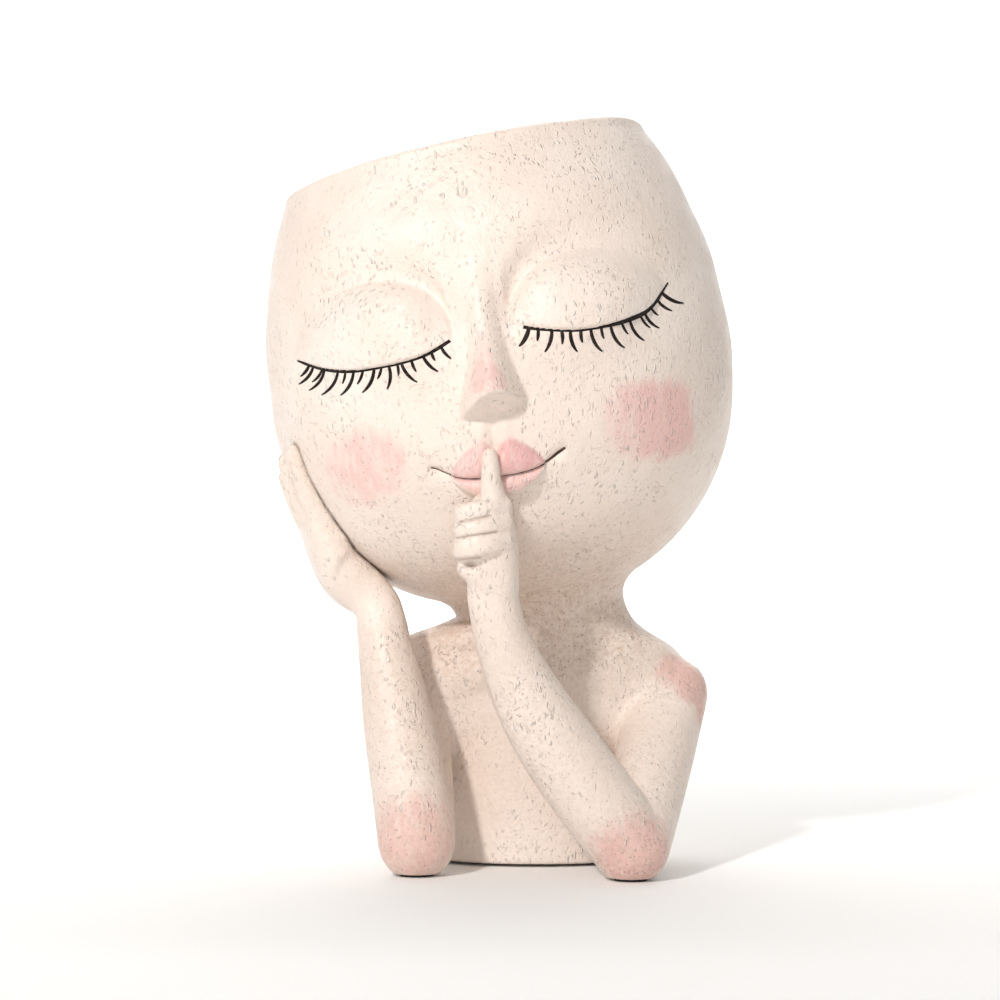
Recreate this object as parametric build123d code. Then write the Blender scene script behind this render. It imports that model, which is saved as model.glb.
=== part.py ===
"""Head planter: a leaning egg-shaped pot with a sleeping face, on a bust that props the head up
with one palm against the cheek and one finger on the lips.

Millimetres, +Z up, the face looks along -Y. Every piece is modelled about the drain axis with the
floor at zero, and the finished set is then centred on its own bounding box. "Right" and "left" are
the figure's own, so the right arm stands at -X.
"""

import os
from math import asin, cos, pi, radians, sin

from build123d import *

# Head, measured in its own leaning frame from its widest level
head_width = 128.8
head_depth = 120.0
jaw_height = 66.5
crown_height = 93.5
jaw_fullness_share = 2.22
crown_fullness_share = 1.94
rim_height_share = 0.6225
head_lean_degrees = 7.8
rim_lean_degrees = 5.5
rim_pitch_degrees = 1.5
pot_wall = 7.0
pot_floor = 10.0
rim_round = 2.0

# Where the head's widest level stands over the drain axis
head_side = -9.9
head_forward = 5.0
head_level = 137.0

# Face, placed on the head's own frame
face_middle = -3.3
eye_spacing = 58.4
eye_level = 14.0
eye_width = 43.4
eye_height = 24.5
eye_bulge = 4.6
eye_sink = 5.0
eye_tilt_degrees = 4.0
nose_width = 17.4
nose_length = 25.0
nose_base_level = -14.6
nose_reach = 9.6
mouth_level = -28.4
lip_width = 30.0
upper_lip_height = 7.0
lower_lip_height = 6.6
lip_reach = 2.6
lip_tilt_degrees = 9.0
upper_lobe_share = 1.14
lower_lobe_share = 1.02

# Way down the nose, width and reach of its ovals, as shares of its length, width and reach
nose_shares = ((0.0, 0.34, 0.10), (0.3, 0.42, 0.32), (0.6, 0.66, 0.64), (0.88, 0.98, 0.98), (1.0, 0.92, 0.84))

# Bust, by level above the floor
shoulder_width = 81.0
trunk_depth = 46.0
trunk_height = 70.2
neck_side = 1.4

# Level, width and depth of the trunk's ovals, as shares of its height, shoulder width and base depth
trunk_shares = ((0.00, 0.74, 1.00), (0.34, 0.715, 0.93), (0.68, 0.98, 0.84))
yoke_shares = ((0.68, 0.98, 0.84), (0.84, 0.84, 0.82), (1.00, 0.60, 0.87))
throat_shares = ((1.00, 0.60, 0.87), (1.22, 0.585, 0.90), (1.45, 0.60, 0.92))

# Arms
shoulder_spacing = 73.2
shoulder_joint_level = 45.5
shoulder_joint_forward = 3.0
shoulder_radius = 10.4
elbow_radius = 10.7
elbow_level = 8.6
elbow_seat_offset = 7.0
right_elbow_side = -32.0
right_elbow_forward = 39.0
left_elbow_side = 24.6
left_elbow_forward = 48.0
forearm_radius = 9.8
wrist_radius = 6.7
forearm_swell_share = 0.45
wrist_thin_share = 0.92
limb_end_share = 0.955
right_forearm_bow = 1.4
left_forearm_bow = -4.6
elbow_peg_radius = 3.2
elbow_peg_length = 9.0

# Right hand, palm on the cheek
cheek_angle_degrees = -65.0
finger_fan_degrees = -6.9
finger_radius = 3.9
fingertip_radius = 3.0
palm_width = 27.0
palm_thickness = 12.0
fingertip_level = -15.5
fingertip_drop = 3.6
finger_count = 4
heel_share = 0.45
heel_width_share = 0.88
finger_base_share = 0.45
tip_fan_share = 0.86

# Where the right hand stands on the head's skin, its levels as shares of the jaw's height
knuckle_drop_share = 0.541
heel_angle_degrees = -70.0
heel_drop_share = 0.70
heel_stand_off = 4.0
wrist_angle_degrees = -65.0
right_wrist_drop_share = 0.79
right_wrist_stand_off = 8.0

# Left hand, first finger on the lips
fist_width = 17.0
fist_height = 21.0
fist_depth = 14.0
fist_offset = -2.9
fist_drop_share = 0.722
fist_stand_off = 6.0
pointing_base_radius = 3.4
pointing_tip_radius = 2.2
pointing_tip_side = -5.6
pointing_tip_level = -25.2
curled_radius = 3.1
thumb_radius = 3.0
tip_press_share = 0.6
curled_taper_share = 0.9

# Left wrist, as an offset and as shares of the head's half depth and jaw
left_wrist_offset = -1.7
left_wrist_forward_share = 0.858
left_wrist_drop_share = 0.938

# Ends of the fingers in the fist, as shares of its width, depth and height from its centre
pointing_base_share = (0.06, 0.0, 0.36)
curled_shares = (
    ((-0.30, -0.22, 0.34), (0.20, -0.34, 0.34)),
    ((-0.34, -0.22, 0.12), (0.16, -0.34, 0.12)),
    ((-0.32, -0.22, -0.10), (0.18, -0.34, -0.10)),
)
thumb_shares = ((0.20, -0.20, -0.45), (-0.34, -0.18, -0.32))

# Neck spigot and drain
spigot_radius = 16.0
spigot_length = 11.0
spigot_clearance = 0.15
drain_radius = 8.0
plug_bore_radius = 6.5
plug_bore_length = 10.0
plug_recess_radius = 11.0
plug_recess_depth = 3.6
plug_flange_radius = 10.0
plug_flange_thickness = 2.2
plug_stem_taper = 0.5
plug_clearance = 0.08
plug_tab_width = 8.0
plug_tab_thickness = 1.6
plug_tab_height = 1.1

# Foot pads
pad_radius = 4.4
pad_thickness = 1.8
pad_proud = 0.8
pad_back_spacing = 34.0
pad_back_setback = 13.0
pad_clearance = 0.1

# Working values
cut_overrun = 20.0
right, left = -1, 1
half_width = head_width / 2
half_depth = head_depth / 2
rim_height = crown_height * rim_height_share
knuckle_level = -jaw_height * knuckle_drop_share
egg_level_shares = (-0.97, -0.9, -0.75, -0.5, -0.25, 0.0, 0.25, 0.5, 0.78)
quarter_turn_degrees = 90

head_frame = Location((head_side, -head_forward, head_level), (0, -head_lean_degrees, 0))


def rho(level: float) -> float:
    """Share of the full width that the egg has at a level of the head's frame."""
    height, fullness = (jaw_height, jaw_fullness_share) if level < 0 else (crown_height, crown_fullness_share)
    return (1 - abs(level / height) ** fullness) ** (1 / fullness)


def rho_slope(level: float) -> float:
    """Rate at which that share changes with the level."""
    height, fullness = (jaw_height, jaw_fullness_share) if level < 0 else (crown_height, crown_fullness_share)
    ratio = abs(level / height)
    steepness = ratio ** (fullness - 1) / height * (1 - ratio**fullness) ** (1 / fullness - 1)
    return steepness if level < 0 else -steepness


def skin_point(angle: float, level: float) -> Vector:
    """Point of the egg at an angle from straight ahead (degrees, positive to +X) and a level."""
    turn = radians(angle)
    return Vector(half_width * rho(level) * sin(turn), -half_depth * rho(level) * cos(turn), level)


def skin_normal(point: Vector) -> Vector:
    """Outward normal of the egg at one of its points."""
    slope = -rho(point.Z) * rho_slope(point.Z)
    return Vector(point.X / half_width**2, point.Y / half_depth**2, slope).normalized()


def face_angle(side: float, level: float) -> float:
    """Angle from straight ahead at which the egg reaches a sideways distance."""
    return asin(side / (half_width * rho(level))) * 180 / pi


def face_plane(side: float, level: float, roll: float = 0) -> Plane:
    """Plane on the face with x to the side, y up along the skin and z straight out."""
    point = skin_point(face_angle(side, level), level)
    normal = skin_normal(point)
    across = Vector(0, 0, 1).cross(normal)
    return Plane(origin=point, x_dir=across, z_dir=normal).rotated((0, 0, roll))


def off_skin(angle: float, level: float, stand_off: float) -> Vector:
    """World point that stands off the egg's skin along its normal."""
    point = skin_point(angle, level)
    return in_world(point + skin_normal(point) * stand_off)


def in_world(point: Vector) -> Vector:
    """World place of a point of the head's frame."""
    return (head_frame * Pos(point)).position


def ellipsoid(across: float, along: float, out: float) -> Part:
    """Ellipsoid with the three full sizes given along x, y and z."""
    return scale(Sphere(1), (across / 2, along / 2, out / 2))


def egg(width: float, depth: float, jaw: float, crown: float) -> Part:
    """Egg with half sizes given, lofted through level ovals from its flat foot to above the rim."""
    ovals = []
    for height_share in egg_level_shares:
        height, fullness = (jaw, jaw_fullness_share) if height_share < 0 else (crown, crown_fullness_share)
        oval_share = (1 - abs(height_share) ** fullness) ** (1 / fullness)
        oval = Rot(0, 0, quarter_turn_degrees) * Ellipse(depth * oval_share, width * oval_share)
        ovals.append(Pos(0, 0, height * height_share) * oval)
    return loft(ovals)


def capsule(start: Vector, end: Vector, start_radius: float, end_radius: float) -> Part:
    """Tapered finger bone: the smooth hull of two balls."""
    length = (end - start).length
    taper = asin((start_radius - end_radius) / length)
    low = (start_radius * cos(taper), start_radius * sin(taper))
    high = (end_radius * cos(taper), length + end_radius * sin(taper))
    half = (pi / 2 + taper) / 2
    low_mid = (start_radius * sin(half), -start_radius * cos(half))
    top_half = (pi / 2 - taper) / 2
    high_mid = (end_radius * sin(top_half), length + end_radius * cos(top_half))
    outline = [
        ThreePointArc((0, -start_radius), low_mid, low),
        Line(low, high),
        ThreePointArc(high, high_mid, (0, length + end_radius)),
        Line((0, length + end_radius), (0, -start_radius)),
    ]
    bone = revolve(Plane.XZ * make_face(outline), Axis.Z)
    return Plane(origin=start, z_dir=end - start).location * bone


def round_limb(stations: list) -> Part:
    """Limb lofted through round or oval sections: (centre, half width, half thickness, flat side)."""
    faces = []
    for index, (centre, width, thickness, flat) in enumerate(stations):
        before = stations[max(index - 1, 0)][0]
        after = stations[min(index + 1, len(stations) - 1)][0]
        along = (after - before).normalized()
        across = along.cross(flat).normalized()
        section = Ellipse(width, thickness) if width != thickness else Circle(width)
        faces.append(Plane(origin=centre, x_dir=across, z_dir=along) * section)
    return loft(faces)


def mix(start: Vector, end: Vector, share: float) -> Vector:
    """Point at a share of the way from start to end."""
    return start + (end - start) * share


def below_floor() -> Part:
    """Everything under the level where the castings are ground flat."""
    reach = head_width + head_depth
    return Pos(0, 0, pad_proud - reach / 2) * Box(2 * reach, 2 * reach, reach)


def face_relief(head: Part) -> Part:
    """Adds eyelids, nose and lips to the egg."""
    for side in (right, left):
        lid = face_plane(face_middle + side * eye_spacing / 2, eye_level, eye_tilt_degrees)
        lid_place = lid.offset(-eye_sink).location
        head += lid_place * ellipsoid(eye_width, eye_height, 2 * (eye_bulge + eye_sink))
    head += nose()
    for side in (right, left):
        lobe = face_middle + side * lip_width / 4
        upper = face_plane(lobe, mouth_level + upper_lip_height / 2, -side * lip_tilt_degrees)
        lower = face_plane(lobe, mouth_level - lower_lip_height / 2, side * lip_tilt_degrees)
        head += upper.location * ellipsoid(lip_width / 2 * upper_lobe_share, upper_lip_height, 2 * lip_reach)
        head += lower.location * ellipsoid(lip_width / 2 * lower_lobe_share, lower_lip_height, 2 * lip_reach)
    return head


def nose() -> Part:
    """Nose lofted through level ovals from the bridge to its flat underside."""
    sections = []
    for down_share, width_share, reach_share in nose_shares:
        level = nose_base_level + nose_length * (1 - down_share)
        origin = skin_point(face_angle(face_middle, level), level)
        oval = Ellipse(nose_width / 2 * width_share, nose_reach * reach_share)
        sections.append(Plane(origin=origin, x_dir=(1, 0, 0), z_dir=(0, 0, 1)) * oval)
    return loft(sections)


def rim_plane() -> Plane:
    """Plane of the pot's mouth in the head's frame."""
    level = Plane(origin=(0, 0, rim_height), x_dir=(1, 0, 0), z_dir=(0, 0, 1))
    return level.rotated((-rim_pitch_degrees, -rim_lean_degrees, 0))


def drain_column(radius: float, low: float, high: float) -> Part:
    """Upright cylinder on the drain axis between two levels."""
    return Pos(0, 0, (low + high) / 2) * Cylinder(radius, high - low)


def plain_egg() -> Part:
    """Head as a plain full egg in its own frame."""
    return egg(half_width, half_depth, jaw_height, crown_height)


def head_pot(full_head: Part) -> Part:
    """Hollow head: cut at the rim, emptied, with the neck spigot and the drain hole."""
    mouth = rim_plane()
    world_mouth = Plane(head_frame * mouth.location)
    pot = split(full_head, bisect_by=world_mouth, keep=Keep.BOTTOM)
    hollow = head_frame * egg(half_width - pot_wall, half_depth - pot_wall, jaw_height - pot_floor,
                              crown_height - pot_wall)
    pot -= hollow
    rim = pot.faces().sort_by_distance(world_mouth.origin)
    mouth_face = [face for face in rim if face.geom_type == GeomType.PLANE][0]
    pot = fillet(mouth_face.edges(), rim_round)
    spigot_top = head_level - jaw_height + pot_floor / 2
    pot += drain_column(spigot_radius, spigot_low(), spigot_top)
    return pot - drain_column(drain_radius, spigot_low() - cut_overrun, head_level)


def spigot_low() -> float:
    """Level of the spigot's lower end."""
    return head_level - jaw_height - spigot_length


def trunk_loft(shares: tuple) -> Part:
    """Stretch of the trunk lofted through level ovals."""
    ovals = []
    for level_share, width_share, depth_share in shares:
        oval = Ellipse(shoulder_width / 2 * width_share, trunk_depth / 2 * depth_share)
        ovals.append(Pos(neck_side * level_share, 0, pad_proud + trunk_height * level_share) * oval)
    return loft(ovals)


def torso() -> Part:
    """Trunk, sloping shoulders and neck, carried up into the head."""
    return trunk_loft(trunk_shares) + trunk_loft(yoke_shares) + trunk_loft(throat_shares)


def elbow(side: int) -> Vector:
    """Centre of an elbow."""
    if side == right:
        return Vector(right_elbow_side, -right_elbow_forward, elbow_level)
    return Vector(left_elbow_side, -left_elbow_forward, elbow_level)


def shoulder(side: int) -> Vector:
    """Centre of a shoulder joint."""
    return Vector(side * shoulder_spacing / 2, -shoulder_joint_forward, shoulder_joint_level)


def upper_arm(side: int) -> Part:
    """Upper arm from the shoulder down and forward to the ball of the elbow."""
    return capsule(shoulder(side), elbow(side), shoulder_radius, elbow_radius)


def elbow_seat(side: int) -> Plane:
    """Plane across the upper arm where the forearm casting is glued on."""
    along = (shoulder(side) - elbow(side)).normalized()
    return Plane(origin=elbow(side) + along * elbow_seat_offset, z_dir=along)


def elbow_peg(side: int, clearance: float) -> Part:
    """Peg that keys a forearm into the upper arm, along the upper arm's own line."""
    seat = elbow_seat(side).offset(-elbow_peg_radius)
    length = elbow_peg_radius + elbow_peg_length + clearance
    peg = Cylinder(elbow_peg_radius + clearance, length, align=(Align.CENTER, Align.CENTER, Align.MIN))
    return seat.location * peg


def straight_forearm(side: int, palm_out: Vector) -> Part:
    """Forearm from the elbow, swelling gently and narrowing to the ball of the wrist."""
    start = elbow(side)
    wrist = wrist_of(side)
    bow = right_forearm_bow if side == right else left_forearm_bow
    swell = mix(start, wrist, forearm_swell_share) + Vector(bow, 0, 0)
    arm = round_limb([
        (start, elbow_radius * limb_end_share, elbow_radius * limb_end_share, palm_out),
        (swell, forearm_radius, forearm_radius, palm_out),
        (wrist, wrist_radius * limb_end_share, wrist_radius * limb_end_share, palm_out),
    ])
    return arm + Pos(wrist) * Sphere(wrist_radius)


def right_arm() -> Part:
    """Right forearm with its open hand laid along the cheek, the thumb behind the jaw."""
    wrist = wrist_of(right)
    middle_angle = cheek_angle_degrees + finger_fan_degrees * (finger_count - 1) / 2
    palm_out = in_world_normal(middle_angle, knuckle_level)
    knuckles = off_skin(middle_angle, knuckle_level, finger_radius * finger_base_share)
    heel = off_skin(heel_angle_degrees, -jaw_height * heel_drop_share, heel_stand_off)
    arm = straight_forearm(right, palm_out) + round_limb([
        (wrist, wrist_radius * limb_end_share, wrist_radius * wrist_thin_share, palm_out),
        (heel, palm_width / 2 * heel_width_share, palm_thickness / 2, palm_out),
        (knuckles, palm_width / 2, finger_radius * limb_end_share**2, palm_out),
    ])
    for index in range(finger_count):
        angle = cheek_angle_degrees + finger_fan_degrees * index
        tip_level = fingertip_level - fingertip_drop * index
        base = off_skin(angle, knuckle_level, finger_radius * finger_base_share)
        tip_angle = cheek_angle_degrees + finger_fan_degrees * tip_fan_share * index
        tip = off_skin(tip_angle, tip_level, fingertip_radius * finger_base_share)
        arm += capsule(base, tip, finger_radius, fingertip_radius)
    thumb_angle = cheek_angle_degrees + finger_fan_degrees * (finger_count + 1)
    thumb_tip = off_skin(thumb_angle, knuckle_level, thumb_radius)
    return arm + capsule(mix(wrist, heel, heel_share), thumb_tip, thumb_radius, fingertip_radius)


def in_world_normal(angle: float, level: float) -> Vector:
    """Outward direction of the egg's skin, in the world."""
    point = skin_point(angle, level)
    return in_world(point + skin_normal(point)) - in_world(point)


def left_arm() -> Part:
    """Left forearm with a loose fist before the chin and its first finger raised to the lips."""
    fist_drop = jaw_height * fist_drop_share
    chin_depth = half_depth * rho(-fist_drop)
    forward = head_forward + chin_depth + fist_stand_off
    fist = Vector(head_side + fist_offset, -forward, head_level - fist_drop)
    palm_out = Vector(0, 1, 0)
    wrist = wrist_of(left)
    heel = mix(wrist, fist, heel_share)
    arm = straight_forearm(left, palm_out) + round_limb([
        (wrist, wrist_radius * limb_end_share, wrist_radius * wrist_thin_share, palm_out),
        (heel, fist_width / 2 * heel_width_share, wrist_radius, palm_out),
        (fist, fist_width / 2 * limb_end_share, fist_depth / 2 * limb_end_share, palm_out),
    ])
    arm += Pos(fist) * ellipsoid(fist_width, fist_depth, fist_height)
    tip_angle = face_angle(pointing_tip_side, pointing_tip_level)
    tip = off_skin(tip_angle, pointing_tip_level, lip_reach + pointing_tip_radius * tip_press_share)
    base_share = Vector(*pointing_base_share)
    arm += capsule(in_fist(fist, base_share), tip, pointing_base_radius, pointing_tip_radius)
    for outer_share, inner_share in curled_shares:
        outer = in_fist(fist, Vector(*outer_share))
        inner = in_fist(fist, Vector(*inner_share))
        arm += capsule(outer, inner, curled_radius, curled_radius * curled_taper_share)
    start_share, end_share = thumb_shares
    thumb = capsule(in_fist(fist, Vector(*start_share)), in_fist(fist, Vector(*end_share)),
                    thumb_radius, thumb_radius * curled_taper_share)
    return arm + thumb


def in_fist(centre: Vector, share: Vector) -> Vector:
    """Point of the fist at shares of its width, depth and height from its centre."""
    return centre + Vector(fist_width * share.X, fist_depth * share.Y, fist_height * share.Z)


def wrist_of(side: int) -> Vector:
    """Centre of a wrist, hung on the head so that the hands follow it."""
    if side == right:
        return off_skin(wrist_angle_degrees, -jaw_height * right_wrist_drop_share, right_wrist_stand_off)
    forward = head_forward + half_depth * left_wrist_forward_share
    return Vector(head_side + left_wrist_offset, -forward, head_level - jaw_height * left_wrist_drop_share)


def forearm_piece(side: int, head: Part, trunk: Part) -> Part:
    """Forearm and hand as one casting, shaped to the head and chest that it lies against."""
    arm = right_arm() if side == right else left_arm()
    arm += split(upper_arm(side), bisect_by=elbow_seat(side), keep=Keep.BOTTOM)
    arm -= head
    arm -= trunk
    arm -= below_floor()
    arm += elbow_peg(side, 0)
    return arm - pad_recess(elbow(side))


def bust_piece(plain_head: Part, trunk: Part, forearms: list) -> Part:
    """Trunk with both upper arms, cupped for the head and the elbows and bored for the drain."""
    bust = trunk
    for side, arm in zip((right, left), forearms):
        bust += split(upper_arm(side), bisect_by=elbow_seat(side), keep=Keep.TOP) - arm
        bust -= elbow_peg(side, spigot_clearance)
        bust -= pad_recess(elbow(side))
    bust -= below_floor()
    bust -= plain_head
    socket_low = spigot_low() - spigot_clearance
    bust -= drain_column(spigot_radius + spigot_clearance, socket_low, head_level)
    bore_top = pad_proud + plug_recess_depth + plug_bore_length
    bust -= drain_column(drain_radius, bore_top, head_level)
    bust -= drain_column(plug_bore_radius, 0, head_level)
    bust -= drain_column(plug_recess_radius, 0, pad_proud + plug_recess_depth)
    for place in back_pads():
        bust -= pad_recess(place)
    return bust


def back_pads() -> list:
    """Places of the two pads under the back of the trunk."""
    return [Vector(side * pad_back_spacing / 2, pad_back_setback, 0) for side in (right, left)]


def pad_recess(place: Vector) -> Part:
    """Shallow seat for one pad, open downward."""
    seat = Cylinder(pad_radius + pad_clearance, pad_thickness, align=(Align.CENTER, Align.CENTER, Align.MIN))
    return Pos(place.X, place.Y, 0) * seat


def foot_pads() -> Part:
    """Four self-adhesive discs that the planter stands on."""
    disc = Cylinder(pad_radius, pad_thickness, align=(Align.CENTER, Align.CENTER, Align.MIN))
    places = [elbow(right), elbow(left), *back_pads()]
    return Compound([Pos(place.X, place.Y, 0) * disc for place in places])


def drain_plug() -> Part:
    """Soft stopper pushed up into the bore from below, with a pull tab under its flange."""
    seat = pad_proud + plug_recess_depth
    low_radius = plug_bore_radius - plug_clearance
    stem = Cone(low_radius, low_radius - plug_stem_taper, plug_bore_length)
    stem = Pos(0, 0, seat + plug_bore_length / 2) * stem
    flange = drain_column(plug_flange_radius, seat - plug_flange_thickness, seat)
    tab_top = seat - plug_flange_thickness
    tab = Pos(0, 0, tab_top - plug_tab_height / 2) * Box(plug_tab_width, plug_tab_thickness, plug_tab_height)
    return stem + flange + tab


def main() -> None:
    """Builds every piece, centres the set and writes one file per piece."""
    plain_head = head_frame * plain_egg()
    full_head = head_frame * face_relief(plain_egg())
    trunk = torso()
    forearms = [forearm_piece(right, plain_head, trunk), forearm_piece(left, full_head, trunk)]
    pieces = {
        "head_pot": head_pot(full_head),
        "bust": bust_piece(plain_head, trunk, forearms),
        "right_forearm": forearms[0],
        "left_forearm": forearms[1],
        "foot_pads": foot_pads(),
        "drain_plug": drain_plug(),
    }
    box = Compound(list(pieces.values())).bounding_box()
    centring = Pos(-box.center().X, -box.center().Y, 0)
    os.makedirs("parts", exist_ok=True)
    for name, piece in pieces.items():
        export_step(centring * piece, f"parts/{name}.step")


main()
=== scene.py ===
"""Visual model of the head planter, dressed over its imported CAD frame.

Lengths in the classes are millimetres about the drain axis, with the floor at zero, +Z up and the
face looking along -Y. They become metres in the row frame when a mesh is made.
"""

import logging
from dataclasses import dataclass, replace
from enum import Enum

import bmesh
import bpy
import numpy as np
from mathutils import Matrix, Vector


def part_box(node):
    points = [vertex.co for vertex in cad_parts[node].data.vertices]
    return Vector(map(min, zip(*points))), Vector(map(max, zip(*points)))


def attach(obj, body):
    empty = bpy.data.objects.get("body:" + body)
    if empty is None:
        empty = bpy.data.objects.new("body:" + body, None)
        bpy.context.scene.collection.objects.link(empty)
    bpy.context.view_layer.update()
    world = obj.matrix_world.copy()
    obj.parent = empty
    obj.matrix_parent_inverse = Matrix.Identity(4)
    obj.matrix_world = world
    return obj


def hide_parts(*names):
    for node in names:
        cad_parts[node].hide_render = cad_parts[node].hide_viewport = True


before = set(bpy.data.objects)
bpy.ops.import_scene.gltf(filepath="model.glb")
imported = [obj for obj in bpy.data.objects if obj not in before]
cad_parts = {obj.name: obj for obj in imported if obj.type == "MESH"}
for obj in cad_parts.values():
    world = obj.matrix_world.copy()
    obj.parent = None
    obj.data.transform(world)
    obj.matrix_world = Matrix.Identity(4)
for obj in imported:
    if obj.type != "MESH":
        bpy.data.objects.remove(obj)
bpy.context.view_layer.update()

logging.basicConfig(level=logging.INFO, format="%(name)s: %(message)s")
log = logging.getLogger("head_planter")

MM = 0.001
PLUG_LOW, PLUG_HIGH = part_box("drain_plug")
DRAIN_AXIS = np.array([(PLUG_LOW[0] + PLUG_HIGH[0]) / 2, (PLUG_LOW[1] + PLUG_HIGH[1]) / 2, 0.0]) / MM
ROOT_BODY = "planter"

Array = np.ndarray
Socket = bpy.types.NodeSocket


class Side(Enum):
    """The figure's own sides; its right arm stands at -X."""

    RIGHT = -1
    LEFT = 1


class Slot(Enum):
    """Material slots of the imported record."""

    RESIN = "resin"
    PLUG = "plug"
    PADS = "pads"


def ramp(value: Array, low: float, high: float) -> Array:
    """Smooth step from 0 at low to 1 at high: 3t^2 - 2t^3 of the clipped share.

    Args:
        value: Numbers to grade.
        low: Where the step starts.
        high: Where the step ends.

    Returns:
        Shares from 0 to 1.
    """
    share = np.clip((value - low) / (high - low), 0, 1)
    return share * share * (3 - 2 * share)


def bell(value: Array, middle: float, spread: float) -> Array:
    """Bell curve: e to the minus square of the distance from the middle over the spread."""
    return np.exp(-(((value - middle) / spread) ** 2))


def unit(vectors: Array) -> Array:
    """Vectors divided by their own lengths."""
    return vectors / np.linalg.norm(vectors, axis=-1, keepdims=True)


def through(knots: Array, values: Array, at: Array) -> Array:
    """Cubic curve through rows of values: Hermite pieces whose slopes are central differences.

    Args:
        knots: Rising positions of the rows, shape (n,).
        values: Row values, shape (n,) or (n, k).
        at: Positions to read.

    Returns:
        Values of the curve at those positions.
    """
    knots = np.asarray(knots, float)
    values = np.asarray(values, float)
    flat = values.reshape(len(knots), -1)
    slopes = np.gradient(flat, knots, axis=0)
    at = np.clip(np.asarray(at, float), knots[0], knots[-1])
    cell = np.clip(np.searchsorted(knots, at, side="right") - 1, 0, len(knots) - 2)
    width = (knots[cell + 1] - knots[cell])[..., None]
    t = ((at - knots[cell]) / width[..., 0])[..., None]
    result = (
        (2 * t**3 - 3 * t**2 + 1) * flat[cell]
        + (t**3 - 2 * t**2 + t) * width * slopes[cell]
        + (3 * t**2 - 2 * t**3) * flat[cell + 1]
        + (t**3 - t**2) * width * slopes[cell + 1]
    )
    return result.reshape(at.shape + values.shape[1:])


def stations(rows: tuple, count: int) -> Array:
    """Rows read at even steps off a cubic curve through the given rows."""
    values = np.array(rows, float)
    return through(np.arange(float(len(values))), values, np.linspace(0, len(values) - 1, count))


def spaced(low: float, high: float, count: int, windows: tuple) -> Array:
    """Positions from low to high, closer together inside windows.

    The density is 1 plus a weight inside each window with soft edges, and the positions cut the
    area under that density into equal parts.

    Args:
        low: First position.
        high: Last position.
        count: How many positions.
        windows: Rows of (window low, window high, weight, edge).

    Returns:
        Rising positions.
    """
    fine = np.linspace(low, high, 4000)
    density = np.ones_like(fine)
    for start, end, weight, edge in windows:
        density += weight * ramp(fine, start - edge, start + edge) * (1 - ramp(fine, end - edge, end + edge))
    area = np.concatenate([[0], np.cumsum((density[1:] + density[:-1]) / 2)])
    return np.interp(np.linspace(0, area[-1], count), area, fine)


def grid_quads(rows: int, columns: int, loop_rows: bool, loop_columns: bool) -> Array:
    """Corner numbers of the quads between neighbours of a row-by-column grid.

    Args:
        rows: Rows of points.
        columns: Points in a row.
        loop_rows: True where the last row joins the first.
        loop_columns: True where the last column joins the first.

    Returns:
        Quads, shape (n, 4).
    """
    row = np.arange(rows if loop_rows else rows - 1)
    column = np.arange(columns if loop_columns else columns - 1)
    low_row, low_column = np.meshgrid(row, column, indexing="ij")
    high_row = (low_row + 1) % rows
    high_column = (low_column + 1) % columns
    corners = [
        low_row * columns + low_column,
        low_row * columns + high_column,
        high_row * columns + high_column,
        high_row * columns + low_column,
    ]
    return np.stack(corners, axis=-1).reshape(-1, 4)


@dataclass
class Skin:
    """A closed run of points and faces, in millimetres about the drain axis."""

    points: Array
    faces: list

    @staticmethod
    def joined(skins: list) -> "Skin":
        """Several skins as one, each keeping its own faces.

        Args:
            skins: Skins to join.

        Returns:
            The joined skin.
        """
        starts = np.cumsum([0] + [len(skin.points) for skin in skins[:-1]])
        faces = [
            [corner + int(start) for corner in face]
            for skin, start in zip(skins, starts)
            for face in skin.faces
        ]
        return Skin(np.concatenate([skin.points for skin in skins]), faces)

    def mesh(self, name: str) -> bpy.types.Mesh:
        """The skin as a smooth-shaded mesh in metres, in the row frame.

        Args:
            name: Name of the mesh.

        Returns:
            The mesh.
        """
        data = bpy.data.meshes.new(name)
        data.from_pydata(((self.points + DRAIN_AXIS) * MM).tolist(), [], self.faces)
        data.polygons.foreach_set("use_smooth", np.ones(len(data.polygons), dtype=bool))
        data.update()
        return data


def place(data: bpy.types.Mesh) -> bpy.types.Object:
    """A mesh as an object at the origin.

    Args:
        data: The mesh.

    Returns:
        The object.
    """
    thing = bpy.data.objects.new(data.name, data)
    bpy.context.scene.collection.objects.link(thing)
    return thing


def mesh_points(data: bpy.types.Mesh) -> Array:
    """A mesh's points in millimetres about the drain axis.

    Args:
        data: The mesh.

    Returns:
        Places, shape (n, 3).
    """
    flat = np.empty(len(data.vertices) * 3)
    data.vertices.foreach_get("co", flat)
    return flat.reshape(-1, 3) / MM - DRAIN_AXIS


def set_points(data: bpy.types.Mesh, points: Array) -> None:
    """Puts points in millimetres about the drain axis back into a mesh."""
    data.vertices.foreach_set("co", ((points + DRAIN_AXIS) * MM).ravel())
    data.update()


def set_attribute(data: bpy.types.Mesh, name: str, values: Array) -> None:
    """Stores one number per point under a name that a material can read."""
    attribute = data.attributes.new(name, "FLOAT", "POINT")
    attribute.data.foreach_set("value", np.ascontiguousarray(values, np.float32))


def mesh_edges(data: bpy.types.Mesh) -> Array:
    """Point numbers at both ends of a mesh's edges, shape (n, 2).

    Args:
        data: The mesh.

    Returns:
        Pairs of point numbers.
    """
    flat = np.empty(len(data.edges) * 2, dtype=np.int32)
    data.edges.foreach_get("vertices", flat)
    return flat.reshape(-1, 2)


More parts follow.
